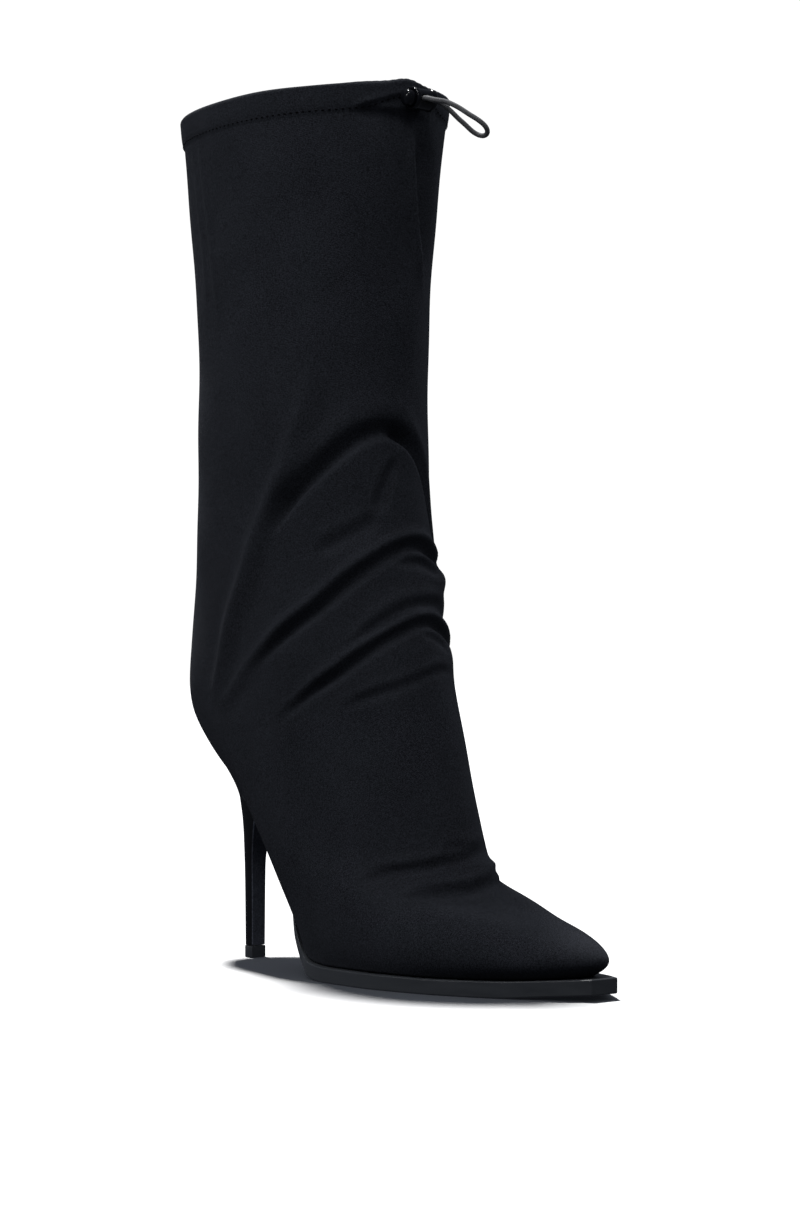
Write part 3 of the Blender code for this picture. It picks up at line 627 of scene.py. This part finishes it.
def ring_map(rings, closed=False):
    """Cloth coordinates in millimetres for the corners of ring_quads: round each ring, and along the rows."""
    count, around, _ = rings.shape
    looped = np.concatenate([rings, rings[:, :1]], axis=1)
    round_it = np.zeros((count, around + 1))
    round_it[:, 1:] = np.cumsum(np.linalg.norm(np.diff(looped, axis=1), axis=2), axis=1)
    round_it -= round_it[:, around // 2 : around // 2 + 1]
    if closed:
        looped = np.concatenate([looped, looped[:1]], axis=0)
        round_it = np.concatenate([round_it, round_it[:1]], axis=0)
    along = np.zeros((len(looped), around + 1))
    along[1:] = np.cumsum(np.linalg.norm(np.diff(looped, axis=0), axis=2), axis=0)
    grid = np.stack([round_it, along], axis=-1)
    corners = [grid[:-1, :-1], grid[:-1, 1:], grid[1:, 1:], grid[1:, :-1]]
    return np.stack(corners, axis=2).reshape(-1, 2)


def lit_pieces():
    """The collection of what the softboxes light: the boot without the floor."""
    return bpy.data.collections.get("lit") or bpy.data.collections.new("lit")


def add_object(name, data):
    """A new object in the scene."""
    made = bpy.data.objects.new(name, data)
    bpy.context.scene.collection.objects.link(made)
    return made


def add_piece(name, points, faces, material, corner_map=None, sharp=None):
    """A closed mesh from points (x, u, z) in millimetres, faced outwards and shaded smooth."""
    mesh = bpy.data.meshes.new(name)
    mesh.from_pydata(place(points).tolist(), [], [tuple(int(i) for i in face) for face in faces])
    if corner_map is not None:
        layer = mesh.uv_layers.new(name="cloth")
        flat = np.zeros((len(mesh.loops), 2))
        flat[: len(corner_map)] = corner_map
        layer.uv.foreach_set("vector", flat.astype(np.float32).ravel())
    work = bmesh.new()
    work.from_mesh(mesh)
    bmesh.ops.recalc_face_normals(work, faces=work.faces)
    work.to_mesh(mesh)
    work.free()
    mesh.shade_smooth()
    if sharp is not None:
        mesh.set_sharp_from_angle(angle=sharp)
    mesh.materials.append(material)
    piece = add_object(name, mesh)
    lit_pieces().objects.link(piece)
    return piece


def stand_for(piece, node, body="boot"):
    """Makes a piece ride on its body and take the place and finish of a node."""
    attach(piece, body)
    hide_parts(node)


def new_shader(name):
    """A new material's node tree and its Principled shader."""
    made = bpy.data.materials.new(name)
    made.use_nodes = True
    return made, made.node_tree, made.node_tree.nodes["Principled BSDF"]


def fill(tree, node, inputs):
    """Sets a node's inputs to values, or links them to other nodes' outputs."""
    for socket, value in inputs.items():
        if isinstance(value, bpy.types.NodeSocket):
            tree.links.new(value, node.inputs[socket])
        else:
            node.inputs[socket].default_value = value


def add_node(tree, kind, inputs, **settings):
    """A new node with its settings made and its inputs filled."""
    made = tree.nodes.new("ShaderNode" + kind)
    for name, value in settings.items():
        setattr(made, name, value)
    fill(tree, made, inputs)
    return made


def maths(tree, operation, first, second=0.0):
    """A Math node's result."""
    return add_node(tree, "Math", {0: first, 1: second}, operation=operation).outputs[0]


def noise(tree, scale, detail, stretch=None):
    """A Noise texture in the part's own space, with its features about 1 / scale metres across."""
    where = add_node(tree, "TexCoord", {}).outputs["Object"]
    if stretch is not None:
        where = add_node(tree, "Mapping", {"Vector": where, "Scale": stretch}).outputs["Vector"]
    return add_node(tree, "TexNoise", {"Vector": where, "Scale": scale, "Detail": detail}).outputs["Fac"]


def spread(tree, value, low, high):
    """A noise made to run from low to high over the range where most of it lies."""
    start, end = NOISE_RANGE
    ends = {"From Min": start, "From Max": end, "To Min": low, "To Max": high}
    return add_node(tree, "MapRange", {"Value": value, **ends}).outputs["Result"]


def shaded(tree, colour, value, contrast):
    """A colour that a noise makes darker and lighter by the contrast."""
    inputs = {"Factor": spread(tree, value, 0.0, 1.0)}
    for socket, light in (("A", 1 - contrast), ("B", 1 + contrast)):
        inputs[socket] = (*(part * light for part in colour), 1)
    return add_node(tree, "Mix", inputs, data_type="RGBA").outputs["Result"]


def bumps(tree, height, distance):
    """Normals of a surface raised by a height times the distance in millimetres."""
    inputs = {"Strength": 1.0, "Distance": distance * MM, "Height": height}
    return add_node(tree, "Bump", inputs).outputs["Normal"]


def weave(tree, pitch):
    """Threads over and under each other, from the cloth coordinates."""
    cloth = add_node(tree, "UVMap", {}, uv_map="cloth").outputs["UV"]
    apart = add_node(tree, "SeparateXYZ", {"Vector": cloth}).outputs
    across, along = (maths(tree, "SINE", maths(tree, "MULTIPLY", apart[axis], FULL_TURN / pitch)) for axis in "XY")
    return maths(tree, "MULTIPLY", across, along)


def fabric_material(name, colour, pitch, roughness=FABRIC_ROUGHNESS, specular=FABRIC_SPECULAR):
    """Stretch fabric: a fine weave with uneven threads and a little sheen, matte unless stretched tight."""
    made, tree, shader = new_shader(name)
    grain = noise(tree, *GRAIN)
    clouds = maths(tree, "MULTIPLY", noise(tree, *CLOUDS), CLOUDS_SHARE)
    mixed = maths(tree, "ADD", maths(tree, "MULTIPLY", grain, 1 - CLOUDS_SHARE), clouds)
    threads = maths(tree, "MULTIPLY", weave(tree, pitch), WEAVE_SHARE)
    fill(tree, shader, {
        "Base Color": shaded(tree, colour, mixed, FABRIC_CONTRAST),
        "Roughness": spread(tree, grain, *roughness),
        "Specular IOR Level": specular,
        "Sheen Weight": FABRIC_SHEEN,
        "Sheen Roughness": FABRIC_SHEEN_ROUGHNESS,
        "Sheen Tint": SHEEN_TINT,
        "Normal": bumps(tree, maths(tree, "ADD", threads, grain), WEAVE_BUMP),
    })
    return made


def heel_painted_light_material(name):
    """The upper's fabric drawn tight over the heel, with painted light on the breast and a painted highlight along
    its corners.
    """
    made = fabric_material(name, HEEL_COLOUR, WEAVE_PITCH, HEEL_ROUGHNESS, HEEL_SPECULAR)
    tree = made.node_tree
    shader = tree.nodes["Principled BSDF"]
    base = shader.inputs["Base Color"].links[0].from_socket
    # painted light: the colour is scaled by the breast's painted light and the corners' painted highlight
    light = add_node(tree, "Attribute", {}, attribute_name="light").outputs["Fac"]
    lighter = add_node(tree, "VectorMath", {0: base, "Scale": light}, operation="SCALE")
    fill(tree, shader, {"Base Color": lighter.outputs["Vector"]})
    return made


def plain_material(name):
    """A material of the table, whose colour, roughness and bump each follow a noise."""
    colour, tone, contrast, wear, roughness, relief, height, specular, sheen = MATERIALS[name]
    made, tree, shader = new_shader(name)
    fill(tree, shader, {
        "Base Color": shaded(tree, colour, noise(tree, *tone), contrast),
        "Roughness": spread(tree, noise(tree, *wear), *roughness),
        "Specular IOR Level": specular,
        "Sheen Weight": sheen,
        "Sheen Roughness": PLAIN_SHEEN_ROUGHNESS,
        "Normal": bumps(tree, noise(tree, *relief), height),
    })
    return made


def floor_material(name):
    """Pale matte studio floor."""
    made, tree, shader = new_shader(name)
    colour = shaded(tree, FLOOR_COLOUR, noise(tree, 3.0, 2.0), 0.005)
    fill(tree, shader, {"Base Color": colour, "Roughness": 0.9, "Specular IOR Level": 0.1})
    return made


def add_camera():
    """The camera of the photograph's view."""
    data = bpy.data.cameras.new("camera")
    data.lens = CAMERA_LENS
    data.shift_y = CAMERA_SHIFT_Y
    camera = add_object("camera", data)
    x, u = CAMERA_LOOK
    look = place((x, u, CAMERA_EYE))
    ahead = np.array([-math.sin(CAMERA_AZIMUTH), math.cos(CAMERA_AZIMUTH), 0])
    camera.location = look - CAMERA_DISTANCE * MM * ahead
    camera.rotation_euler = (math.pi / 2, 0, CAMERA_AZIMUTH)
    bpy.context.scene.camera = camera


def add_cord():
    """The drawcord's free loop, braided."""
    line = spline(np.linspace(0, len(CORD_ROUTE) - 1, CORD_SAMPLES), CORD_ROUTE)
    run = run_along(line)
    at = np.linspace(0, run[-1], CORD_RINGS)
    line = point_at(at, run, line)
    ahead = unit(np.gradient(line, axis=0))
    side = np.cross(ahead[0], (0, 0, 1))
    turn = circle(CORD_SIDES)
    rings = []
    for spot, way, length in zip(line, ahead, at):
        side = unit(side - way * (side @ way))
        up = np.cross(way, side)
        phase = FULL_TURN * length / BRAID_PITCH
        strand = BRAID_STRANDS / 2
        braid = np.abs(np.cos(strand * turn + phase * 2)) + np.abs(np.cos(strand * turn - phase * 2))
        radius = CORD_DIAMETER / 2 - BRAID_DEPTH + BRAID_DEPTH * braid
        rings.append(spot + radius[:, None] * (np.outer(np.cos(turn), side) + np.outer(np.sin(turn), up)))
    faces = capped(CORD_RINGS, CORD_SIDES)
    piece = add_piece("drawcord_loop_braid", np.concatenate(rings), faces, plain_material("cord"))
    stand_for(piece, "drawcord_loop")


def upper_rings(levels, inner=False):
    """Rings of the upper's outer side at levels, or of its inner side, the wall's thickness further in."""
    level, angle = (grid.ravel() for grid in np.meshgrid(levels, circle(AROUND), indexing="ij"))
    points, normal = upper_surface(level, angle, inner)
    return (points - inner * WALL * normal).reshape(len(levels), AROUND, 3)


def add_upper(fabric):
    """The fabric upper: outer side, rounded collar and inner side as one closed wall."""
    outer = [np.linspace(low, high, rows, endpoint=False) for low, high, rows in ROW_BANDS]
    outer_rings = upper_rings(np.concatenate([*outer, [COLLAR]]))
    inner_rings = upper_rings(np.linspace(COLLAR, 0, INNER_ROWS), inner=True)
    top = outer_rings[-1]
    reach = inner_rings[0] - top
    crown = np.linalg.norm(reach, axis=1, keepdims=True) / 2 * (0, 0, 1)
    rim = []
    for turn in np.linspace(0, math.pi, RIM_ROWS + 2)[1:-1]:
        rim.append(top + reach * (1 - math.cos(turn)) / 2 + crown * math.sin(turn))
    rings = np.concatenate([outer_rings, rim, inner_rings])
    faces = ring_quads(len(rings), AROUND, closed=True)
    piece = add_piece("upper_cloth", rings.reshape(-1, 3), faces, fabric, ring_map(rings, closed=True))
    stand_for(piece, "upper")


def capsule(start, end, out, radius):
    """Points and faces of a short thread from start to end that bows outwards."""
    side = unit(np.cross(end - start, out))
    turn = circle(STITCH_SIDES)
    rings = []
    for share in np.linspace(0.02, 0.98, STITCH_RINGS):
        swell = math.sin(math.pi * share)
        middle = start + (end - start) * share + out * radius * (swell - 0.5)
        wide = radius * swell**0.5
        rings.append(middle + wide * (np.outer(np.cos(turn), side) + np.outer(np.sin(turn), out)))
    return np.concatenate(rings), capped(STITCH_RINGS, STITCH_SIDES)


def add_stitches():
    """The row of stitches that holds the hem."""
    fine = np.linspace(0, FULL_TURN, STITCH_LINE_POINTS)
    heights = np.array([upper_base(HEM_LEVELS, angle)[:, 2] for angle in fine])
    goal = heights[:, -1] - (hem_edge(fine) - STITCH_ABOVE_EDGE)
    level = np.array([np.interp(z, row, HEM_LEVELS) for z, row in zip(goal, heights)])
    line, normal = upper_surface(level, fine)
    run = run_along(line)
    count = int(run[-1] / STITCH_PITCH)
    pitch = run[-1] / count
    points, faces, first = [], [], 0
    for k in range(count):
        start, end = point_at((k * pitch, k * pitch + STITCH_LENGTH), run, line)
        out = unit(point_at((k + 0.5) * pitch, run, normal))
        spots, quads = capsule(start, end, out, STITCH_RADIUS)
        points.append(spots)
        faces += [[i + first for i in quad] for quad in quads]
        first += len(spots)
    piece = add_piece("hem_stitches", np.concatenate(points), faces, plain_material("thread"))
    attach(piece, "boot")


def add_outsole(rubber):
    """The sole from the heel breast to the squared tip, with its edges rounded."""
    knots, lateral, medial, underside = np.array(SOLE).T
    u = np.interp(np.linspace(0, len(SOLE) - 1, SOLE_STATIONS), range(len(SOLE)), knots)
    left = monotone(u, knots, lateral)
    right = monotone(u, knots, medial)
    low = monotone(u, knots, underside)
    high = last_line(u)
    rails = []
    for x, z in ((left, low), (left, high), (right, high), (right, low)):
        rails.append(np.column_stack([x, u, z]))
    points = np.stack(rails, axis=1).reshape(-1, 3)
    faces = capped(SOLE_STATIONS, len(rails))
    piece = add_piece("outsole_rubber", points, faces, rubber, sharp=math.radians(40))
    edge = piece.modifiers.new("edge", "BEVEL")
    edge.width = SOLE_EDGE_ROUND * MM
    edge.segments = 4
    edge.limit_method = "ANGLE"
    edge.angle_limit = math.radians(45)
    edge.harden_normals = True
    stand_for(piece, "outsole")


def add_insole(lining):
    """The lined board inside, softly crowned towards its edges."""
    turn = np.linspace(0, math.pi, INSOLE_STATIONS + 2)[1:-1]
    sides = []
    for angle in (turn, FULL_TURN - turn):
        edge = upper_base(0.0, angle)[:, :2]
        tangent = unit(upper_base(0.0, angle + NUDGE)[:, :2] - upper_base(0.0, angle - NUDGE)[:, :2])
        sides.append(edge + INSOLE_INSET * np.column_stack([tangent[:, 1], -tangent[:, 0]]))
    share = (1 - np.cos(np.linspace(0, math.pi, INSOLE_ACROSS))) / 2
    plan = sides[0][:, None] + (sides[1] - sides[0])[:, None] * share[:, None]
    low = last_line(plan[..., 1]) + INSOLE_GAP
    round_edge = np.sqrt(np.clip(1 - (2 * share - 1) ** 8, 0, 1))
    high = low + INSOLE_THICK * (INSOLE_SIDE + (1 - INSOLE_SIDE) * round_edge)
    top = np.concatenate([plan, high[..., None]], axis=2)
    bottom = np.concatenate([plan, low[..., None]], axis=2)
    rings = np.concatenate([top, bottom[:, ::-1]], axis=1)
    faces = capped(INSOLE_STATIONS, 2 * INSOLE_ACROSS)
    piece = add_piece("insole_board", rings.reshape(-1, 3), faces, lining, ring_map(rings), math.radians(50))
    stand_for(piece, "insole")


def rounded(plan):
    """A closed plan outline with its corners softened."""
    for _ in range(CORNER_PASSES):
        plan = plan / 2 + (np.roll(plan, 1, axis=0) + np.roll(plan, -1, axis=0)) / 4
    return plan


def closed_by_breast(back):
    """A plan outline round the heel's back, closed by points straight across its breast, with a fine welt."""
    across = np.linspace(0, 1, BREAST_POINTS + 2)[1:-1, None]
    outline = np.concatenate([back, back[-1] + (back[0] - back[-1]) * across])
    out = unit(outline - outline.mean(axis=0))
    corner = np.zeros(len(outline))
    corner[[0, HEEL_BACK_POINTS - 1]] = 1
    corner = corner + CORNER_WELT_FADE * (np.roll(corner, 1) + np.roll(corner, -1))
    return rounded(outline) + out * corner[:, None] * CORNER_WELT


def stem_ring(z, half_width, half_depth, centre_u):
    """A D-shaped section of the stem: round at the back, flat at the breast."""
    turn = np.linspace(BREAST_CORNER, -BREAST_CORNER, HEEL_BACK_POINTS)
    back = np.column_stack([-half_width * np.sin(turn), centre_u - half_depth * np.cos(turn)])
    plan = closed_by_breast(back)
    return np.column_stack([plan, np.full(len(plan), z)])


def seat_ring():
    """Outline of the heel's top: the feather edge round the back, and straight across the breast."""
    front_u, _, back_u, _ = SECTIONS[0][1:5]
    corner = math.acos(1 - 2 * (BREAST_U - back_u) / (front_u - back_u))
    turn = np.linspace(corner, -corner, HEEL_BACK_POINTS)
    plan = closed_by_breast(upper_base(0.0, turn)[:, :2])
    return np.column_stack([plan, last_line(plan[:, 1])])


def breast_flare(ring, seat):
    """A ring of the stem with its breast drawn out towards the seat's, so that the heel meets the sole's back end."""
    rise = (ring[0, 2] - BREAST_START) / (STEM[-1][0] - BREAST_START)
    turn = np.abs(np.linspace(-1, 1, HEEL_BACK_POINTS))
    front = np.concatenate([smooth_step((turn - BREAST_BEGINS) / (1 - BREAST_BEGINS)), np.ones(BREAST_POINTS)])
    drawn = max(rise, 0.0) ** BREAST_POWER * front
    return ring + drawn[:, None] * (seat - ring) * BREAST_SHARE


def add_heel(fabric):
    """The covered stiletto: a slim stem that flares to the seat."""
    heights, *sizes = np.array(STEM).T
    seat = seat_ring()
    rings = []
    for z in np.linspace(heights[0], heights[-1], STEM_ROWS):
        ring = stem_ring(z, *(monotone(z, heights, size) for size in sizes))
        rings.append(breast_flare(ring, seat))
    stem_top = rings[-1]
    reach = seat - stem_top
    for share in np.linspace(0, 1, FLARE_ROWS + 1)[1:]:
        flare = share**FLARE_POWER
        rings.append(stem_top + reach * (flare, flare, share))
    rings = np.array(rings)
    around = len(stem_top)
    faces = ring_quads(len(rings), around).tolist()
    faces.append(list(range(around)))
    # the seat is closed by strips from side to side, which follow the last's line
    first = (len(rings) - 1) * around
    last = first + HEEL_BACK_POINTS - 1
    middle = HEEL_BACK_POINTS // 2
    faces.append([first, first + 1, *range(last - 1, first + around)])
    for k in range(1, middle - 1):
        faces.append([first + k, first + k + 1, last - k - 1, last - k])
    faces.append([first + middle - 1, first + middle, first + middle + 1])
    piece = add_piece("heel_cover", rings.reshape(-1, 3), faces, fabric, ring_map(rings), math.radians(60))
    # painted light: the breast's colour is made lighter and its corners carry a painted highlight
    light = np.ones(around)
    light[HEEL_BACK_POINTS:] = BREAST_PAINTED_LIGHT
    light[[0, HEEL_BACK_POINTS - 1]] = CORNER_PAINTED_HIGHLIGHT
    piece.data.attributes.new("light", "FLOAT", "POINT").data.foreach_set("value", np.tile(light, len(rings)))
    stand_for(piece, "heel")


def add_heel_tip(rubber):
    """The hard top lift under the stem, with its edges rounded."""
    _, half_width, half_depth, centre_u = STEM[0]
    rings = []
    low_edge = ((0.0, TIP_EDGE), (TIP_EDGE / 3, TIP_EDGE / 3), (TIP_EDGE, 0.0))
    high_edge = [(TIP_HEIGHT - z, inset) for z, inset in reversed(low_edge)]
    for z, inset in (*low_edge, *high_edge):
        margin = TIP_MARGIN - inset
        rings.append(stem_ring(z, half_width + margin, half_depth + margin, centre_u))
    faces = capped(len(rings), len(rings[0]))
    piece = add_piece("heel_top_lift", np.concatenate(rings), faces, rubber, sharp=math.radians(50))
    stand_for(piece, "heel_tip")


def lock_axis_u():
    """Where the barrel's axis lies, so that the barrel sits on the front of the hem."""
    front = upper_base(LOCK_LEVELS, math.pi)
    return np.interp(LOCK_HEIGHT, front[:, 2], front[:, 1]) + HEM_STEP + GAP + LOCK_RADIUS


def fillet(profile, radii):
    """A profile of (radius, x) with each inner corner rounded."""
    profile = np.array(profile, float)
    points = [profile[0]]
    for before, corner, after, radius in zip(profile, profile[1:], profile[2:], radii):
        start, end = corner + unit(before - corner) * radius, corner + unit(after - corner) * radius
        for share in np.linspace(0, 1, FILLET_STEPS):
            points.append(start * (1 - share) ** 2 + 2 * corner * share * (1 - share) + end * share**2)
    return [*points, profile[-1]]


def turned(profile):
    """Points and faces of a piece turned about the lock's axis from a profile of (radius, x)."""
    turn = circle(TURNED_STEPS)
    axis_u = lock_axis_u()
    rings = []
    for radius, x in profile[1:-1]:
        around = [np.full(TURNED_STEPS, x), axis_u + radius * np.cos(turn), LOCK_HEIGHT + radius * np.sin(turn)]
        rings.append(np.column_stack(around))
    points = np.concatenate([*rings, [(profile[0][1], axis_u, LOCK_HEIGHT), (profile[-1][1], axis_u, LOCK_HEIGHT)]])
    faces = ring_quads(len(rings), TURNED_STEPS).tolist()
    last = (len(rings) - 1) * TURNED_STEPS
    for j in range(TURNED_STEPS):
        k = (j + 1) % TURNED_STEPS
        faces.append([j, k, len(points) - 2])
        faces.append([last + j, last + k, len(points) - 1])
    return points, faces


def cut_slot(piece, x):
    """Cuts the cord's slot through a piece of the lock, from front to back, with rounded ends."""
    turn = circle(SLOT_POINTS)
    half = SLOT_HEIGHT / 2
    straight = (SLOT_LENGTH - SLOT_HEIGHT) / 2
    across = x + half * np.cos(turn) + np.copysign(straight, np.cos(turn))
    rings = []
    for u in (lock_axis_u() - 2 * LOCK_RADIUS, lock_axis_u() + 2 * LOCK_RADIUS):
        rings.append(np.column_stack([across, np.full(SLOT_POINTS, u), LOCK_HEIGHT + half * np.sin(turn)]))
    cutter = add_piece("slot_cutter", np.concatenate(rings), capped(2, SLOT_POINTS), piece.data.materials[0])
    cut = piece.modifiers.new("slot", "BOOLEAN")
    cut.operation = "DIFFERENCE"
    cut.object = cutter
    done = bpy.data.meshes.new_from_object(piece.evaluated_get(bpy.context.evaluated_depsgraph_get()))
    piece.modifiers.clear()
    piece.data = done
    done.shade_smooth()
    done.set_sharp_from_angle(angle=math.radians(35))
    bpy.data.objects.remove(cutter)


def add_lock(plastic):
    """The cord lock: a flanged barrel with a blind bore and a slot for the cord, and its sprung plunger."""
    mouth, foot = LOCK_LATERAL_X, LOCK_MEDIAL_X
    body_profile = (
        (0, BORE_END_X),
        (BORE_RADIUS, BORE_END_X),
        (BORE_RADIUS, mouth),
        (LOCK_RADIUS, mouth),
        (LOCK_RADIUS, mouth + LOCK_FLANGE),
        (LOCK_WAIST_RADIUS, mouth + LOCK_FLANGE + LOCK_FLANGE_SLOPE),
        (LOCK_WAIST_RADIUS, foot - LOCK_FLANGE - LOCK_FLANGE_SLOPE),
        (LOCK_RADIUS, foot - LOCK_FLANGE),
        (LOCK_RADIUS, foot),
        (0, foot),
    )
    body_radii = (0.3, 0.2, 0.45, 0.2, 0.15, 0.15, 0.2, 0.9)
    body = add_piece("cord_lock_barrel", *turned(fillet(body_profile, body_radii)), plastic)
    cut_slot(body, SLOT_X)
    stand_for(body, "cord_lock_body")
    top = mouth - PLUNGER_PROUD
    plunger_profile = [(0, top)]
    for turn in np.linspace(0, math.pi / 2, DOME_STEPS)[1:]:
        plunger_profile.append((PLUNGER_RADIUS * math.sin(turn), top + PLUNGER_DOME * (1 - math.cos(turn))))
    plunger_profile.append((PLUNGER_RADIUS, PLUNGER_END_X - PLUNGER_EDGE))
    plunger_profile += [(PLUNGER_RADIUS - PLUNGER_EDGE, PLUNGER_END_X), (0, PLUNGER_END_X)]
    plunger = add_piece("cord_lock_button", *turned(plunger_profile), plastic)
    cut_slot(plunger, SLOT_X - PLUNGER_TRAVEL)
    stand_for(plunger, "cord_lock_plunger", "plunger")


def add_stage():
    """A pale floor."""
    mesh = bpy.data.meshes.new("floor")
    corners = [(x * FLOOR_HALF, y * FLOOR_HALF, 0) for x, y in ((-1, -1), (1, -1), (1, 1), (-1, 1))]
    mesh.from_pydata(corners, [], [(0, 1, 2, 3)])
    mesh.materials.append(floor_material("floor"))
    floor = add_object("floor", mesh)
    floor.visible_diffuse = False
    floor.visible_glossy = False


def add_lamp(name, kind, azimuth, elevation):
    """A light of a kind that shines from a direction, seen from the part."""
    lamp = add_object(name, bpy.data.lights.new(name, kind))
    lamp.rotation_euler = (math.pi / 2 - math.radians(elevation), 0, math.radians(azimuth))
    return lamp


def add_sun(name, azimuth, elevation, strength, spread_angle):
    """A soft even light on everything."""
    lamp = add_lamp(name, "SUN", azimuth, elevation)
    lamp.data.energy = strength
    lamp.data.angle = math.radians(spread_angle)


def add_softbox(name, azimuth, elevation, distance, size, power, gloss):
    """A square light that faces the boot and leaves the floor alone."""
    lamp = add_lamp(name, "AREA", azimuth, elevation)
    lamp.data.size = size
    lamp.data.energy = power
    turn, rise = math.radians(azimuth), math.radians(elevation)
    way = np.array([math.sin(turn) * math.cos(rise), -math.cos(turn) * math.cos(rise), math.sin(rise)])
    lamp.location = np.array([0, 0, LIGHT_AIM]) + distance * way
    lamp.visible_glossy = gloss
    lamp.light_linking.receiver_collection = lit_pieces()


def add_light():
    """The surroundings, a sun from above and behind, and softboxes all round the boot."""
    world = bpy.data.worlds.new("studio")
    world.use_nodes = True
    tree = world.node_tree
    tree.nodes.clear()
    mix = add_node(tree, "MixShader", {"Fac": add_node(tree, "LightPath", {}).outputs["Is Camera Ray"]})
    for slot, (colour, strength) in enumerate((DIM_WORLD, WHITE_WORLD), start=1):
        glow = add_node(tree, "Background", {"Color": colour, "Strength": strength})
        fill(tree, mix, {slot: glow.outputs["Background"]})
    add_node(tree, "OutputWorld", {"Surface": mix.outputs["Shader"]})
    bpy.context.scene.world = world
    bpy.context.scene.view_settings.view_transform = "Standard"
    add_sun(*SUN)
    for row in SOFTBOXES:
        add_softbox(*row)


def main():
    rubber = plain_material("rubber")
    add_camera()
    add_cord()
    add_upper(fabric_material("fabric", FABRIC_COLOUR, WEAVE_PITCH))
    add_stitches()
    add_insole(fabric_material("lining", LINING_COLOUR, LINING_PITCH))
    add_outsole(rubber)
    # the heel's fabric carries painted light on its breast and a painted highlight along its corners
    add_heel(heel_painted_light_material("heel_fabric_painted_light"))
    add_heel_tip(rubber)
    add_lock(plain_material("plastic"))
    add_stage()
    add_light()


main()
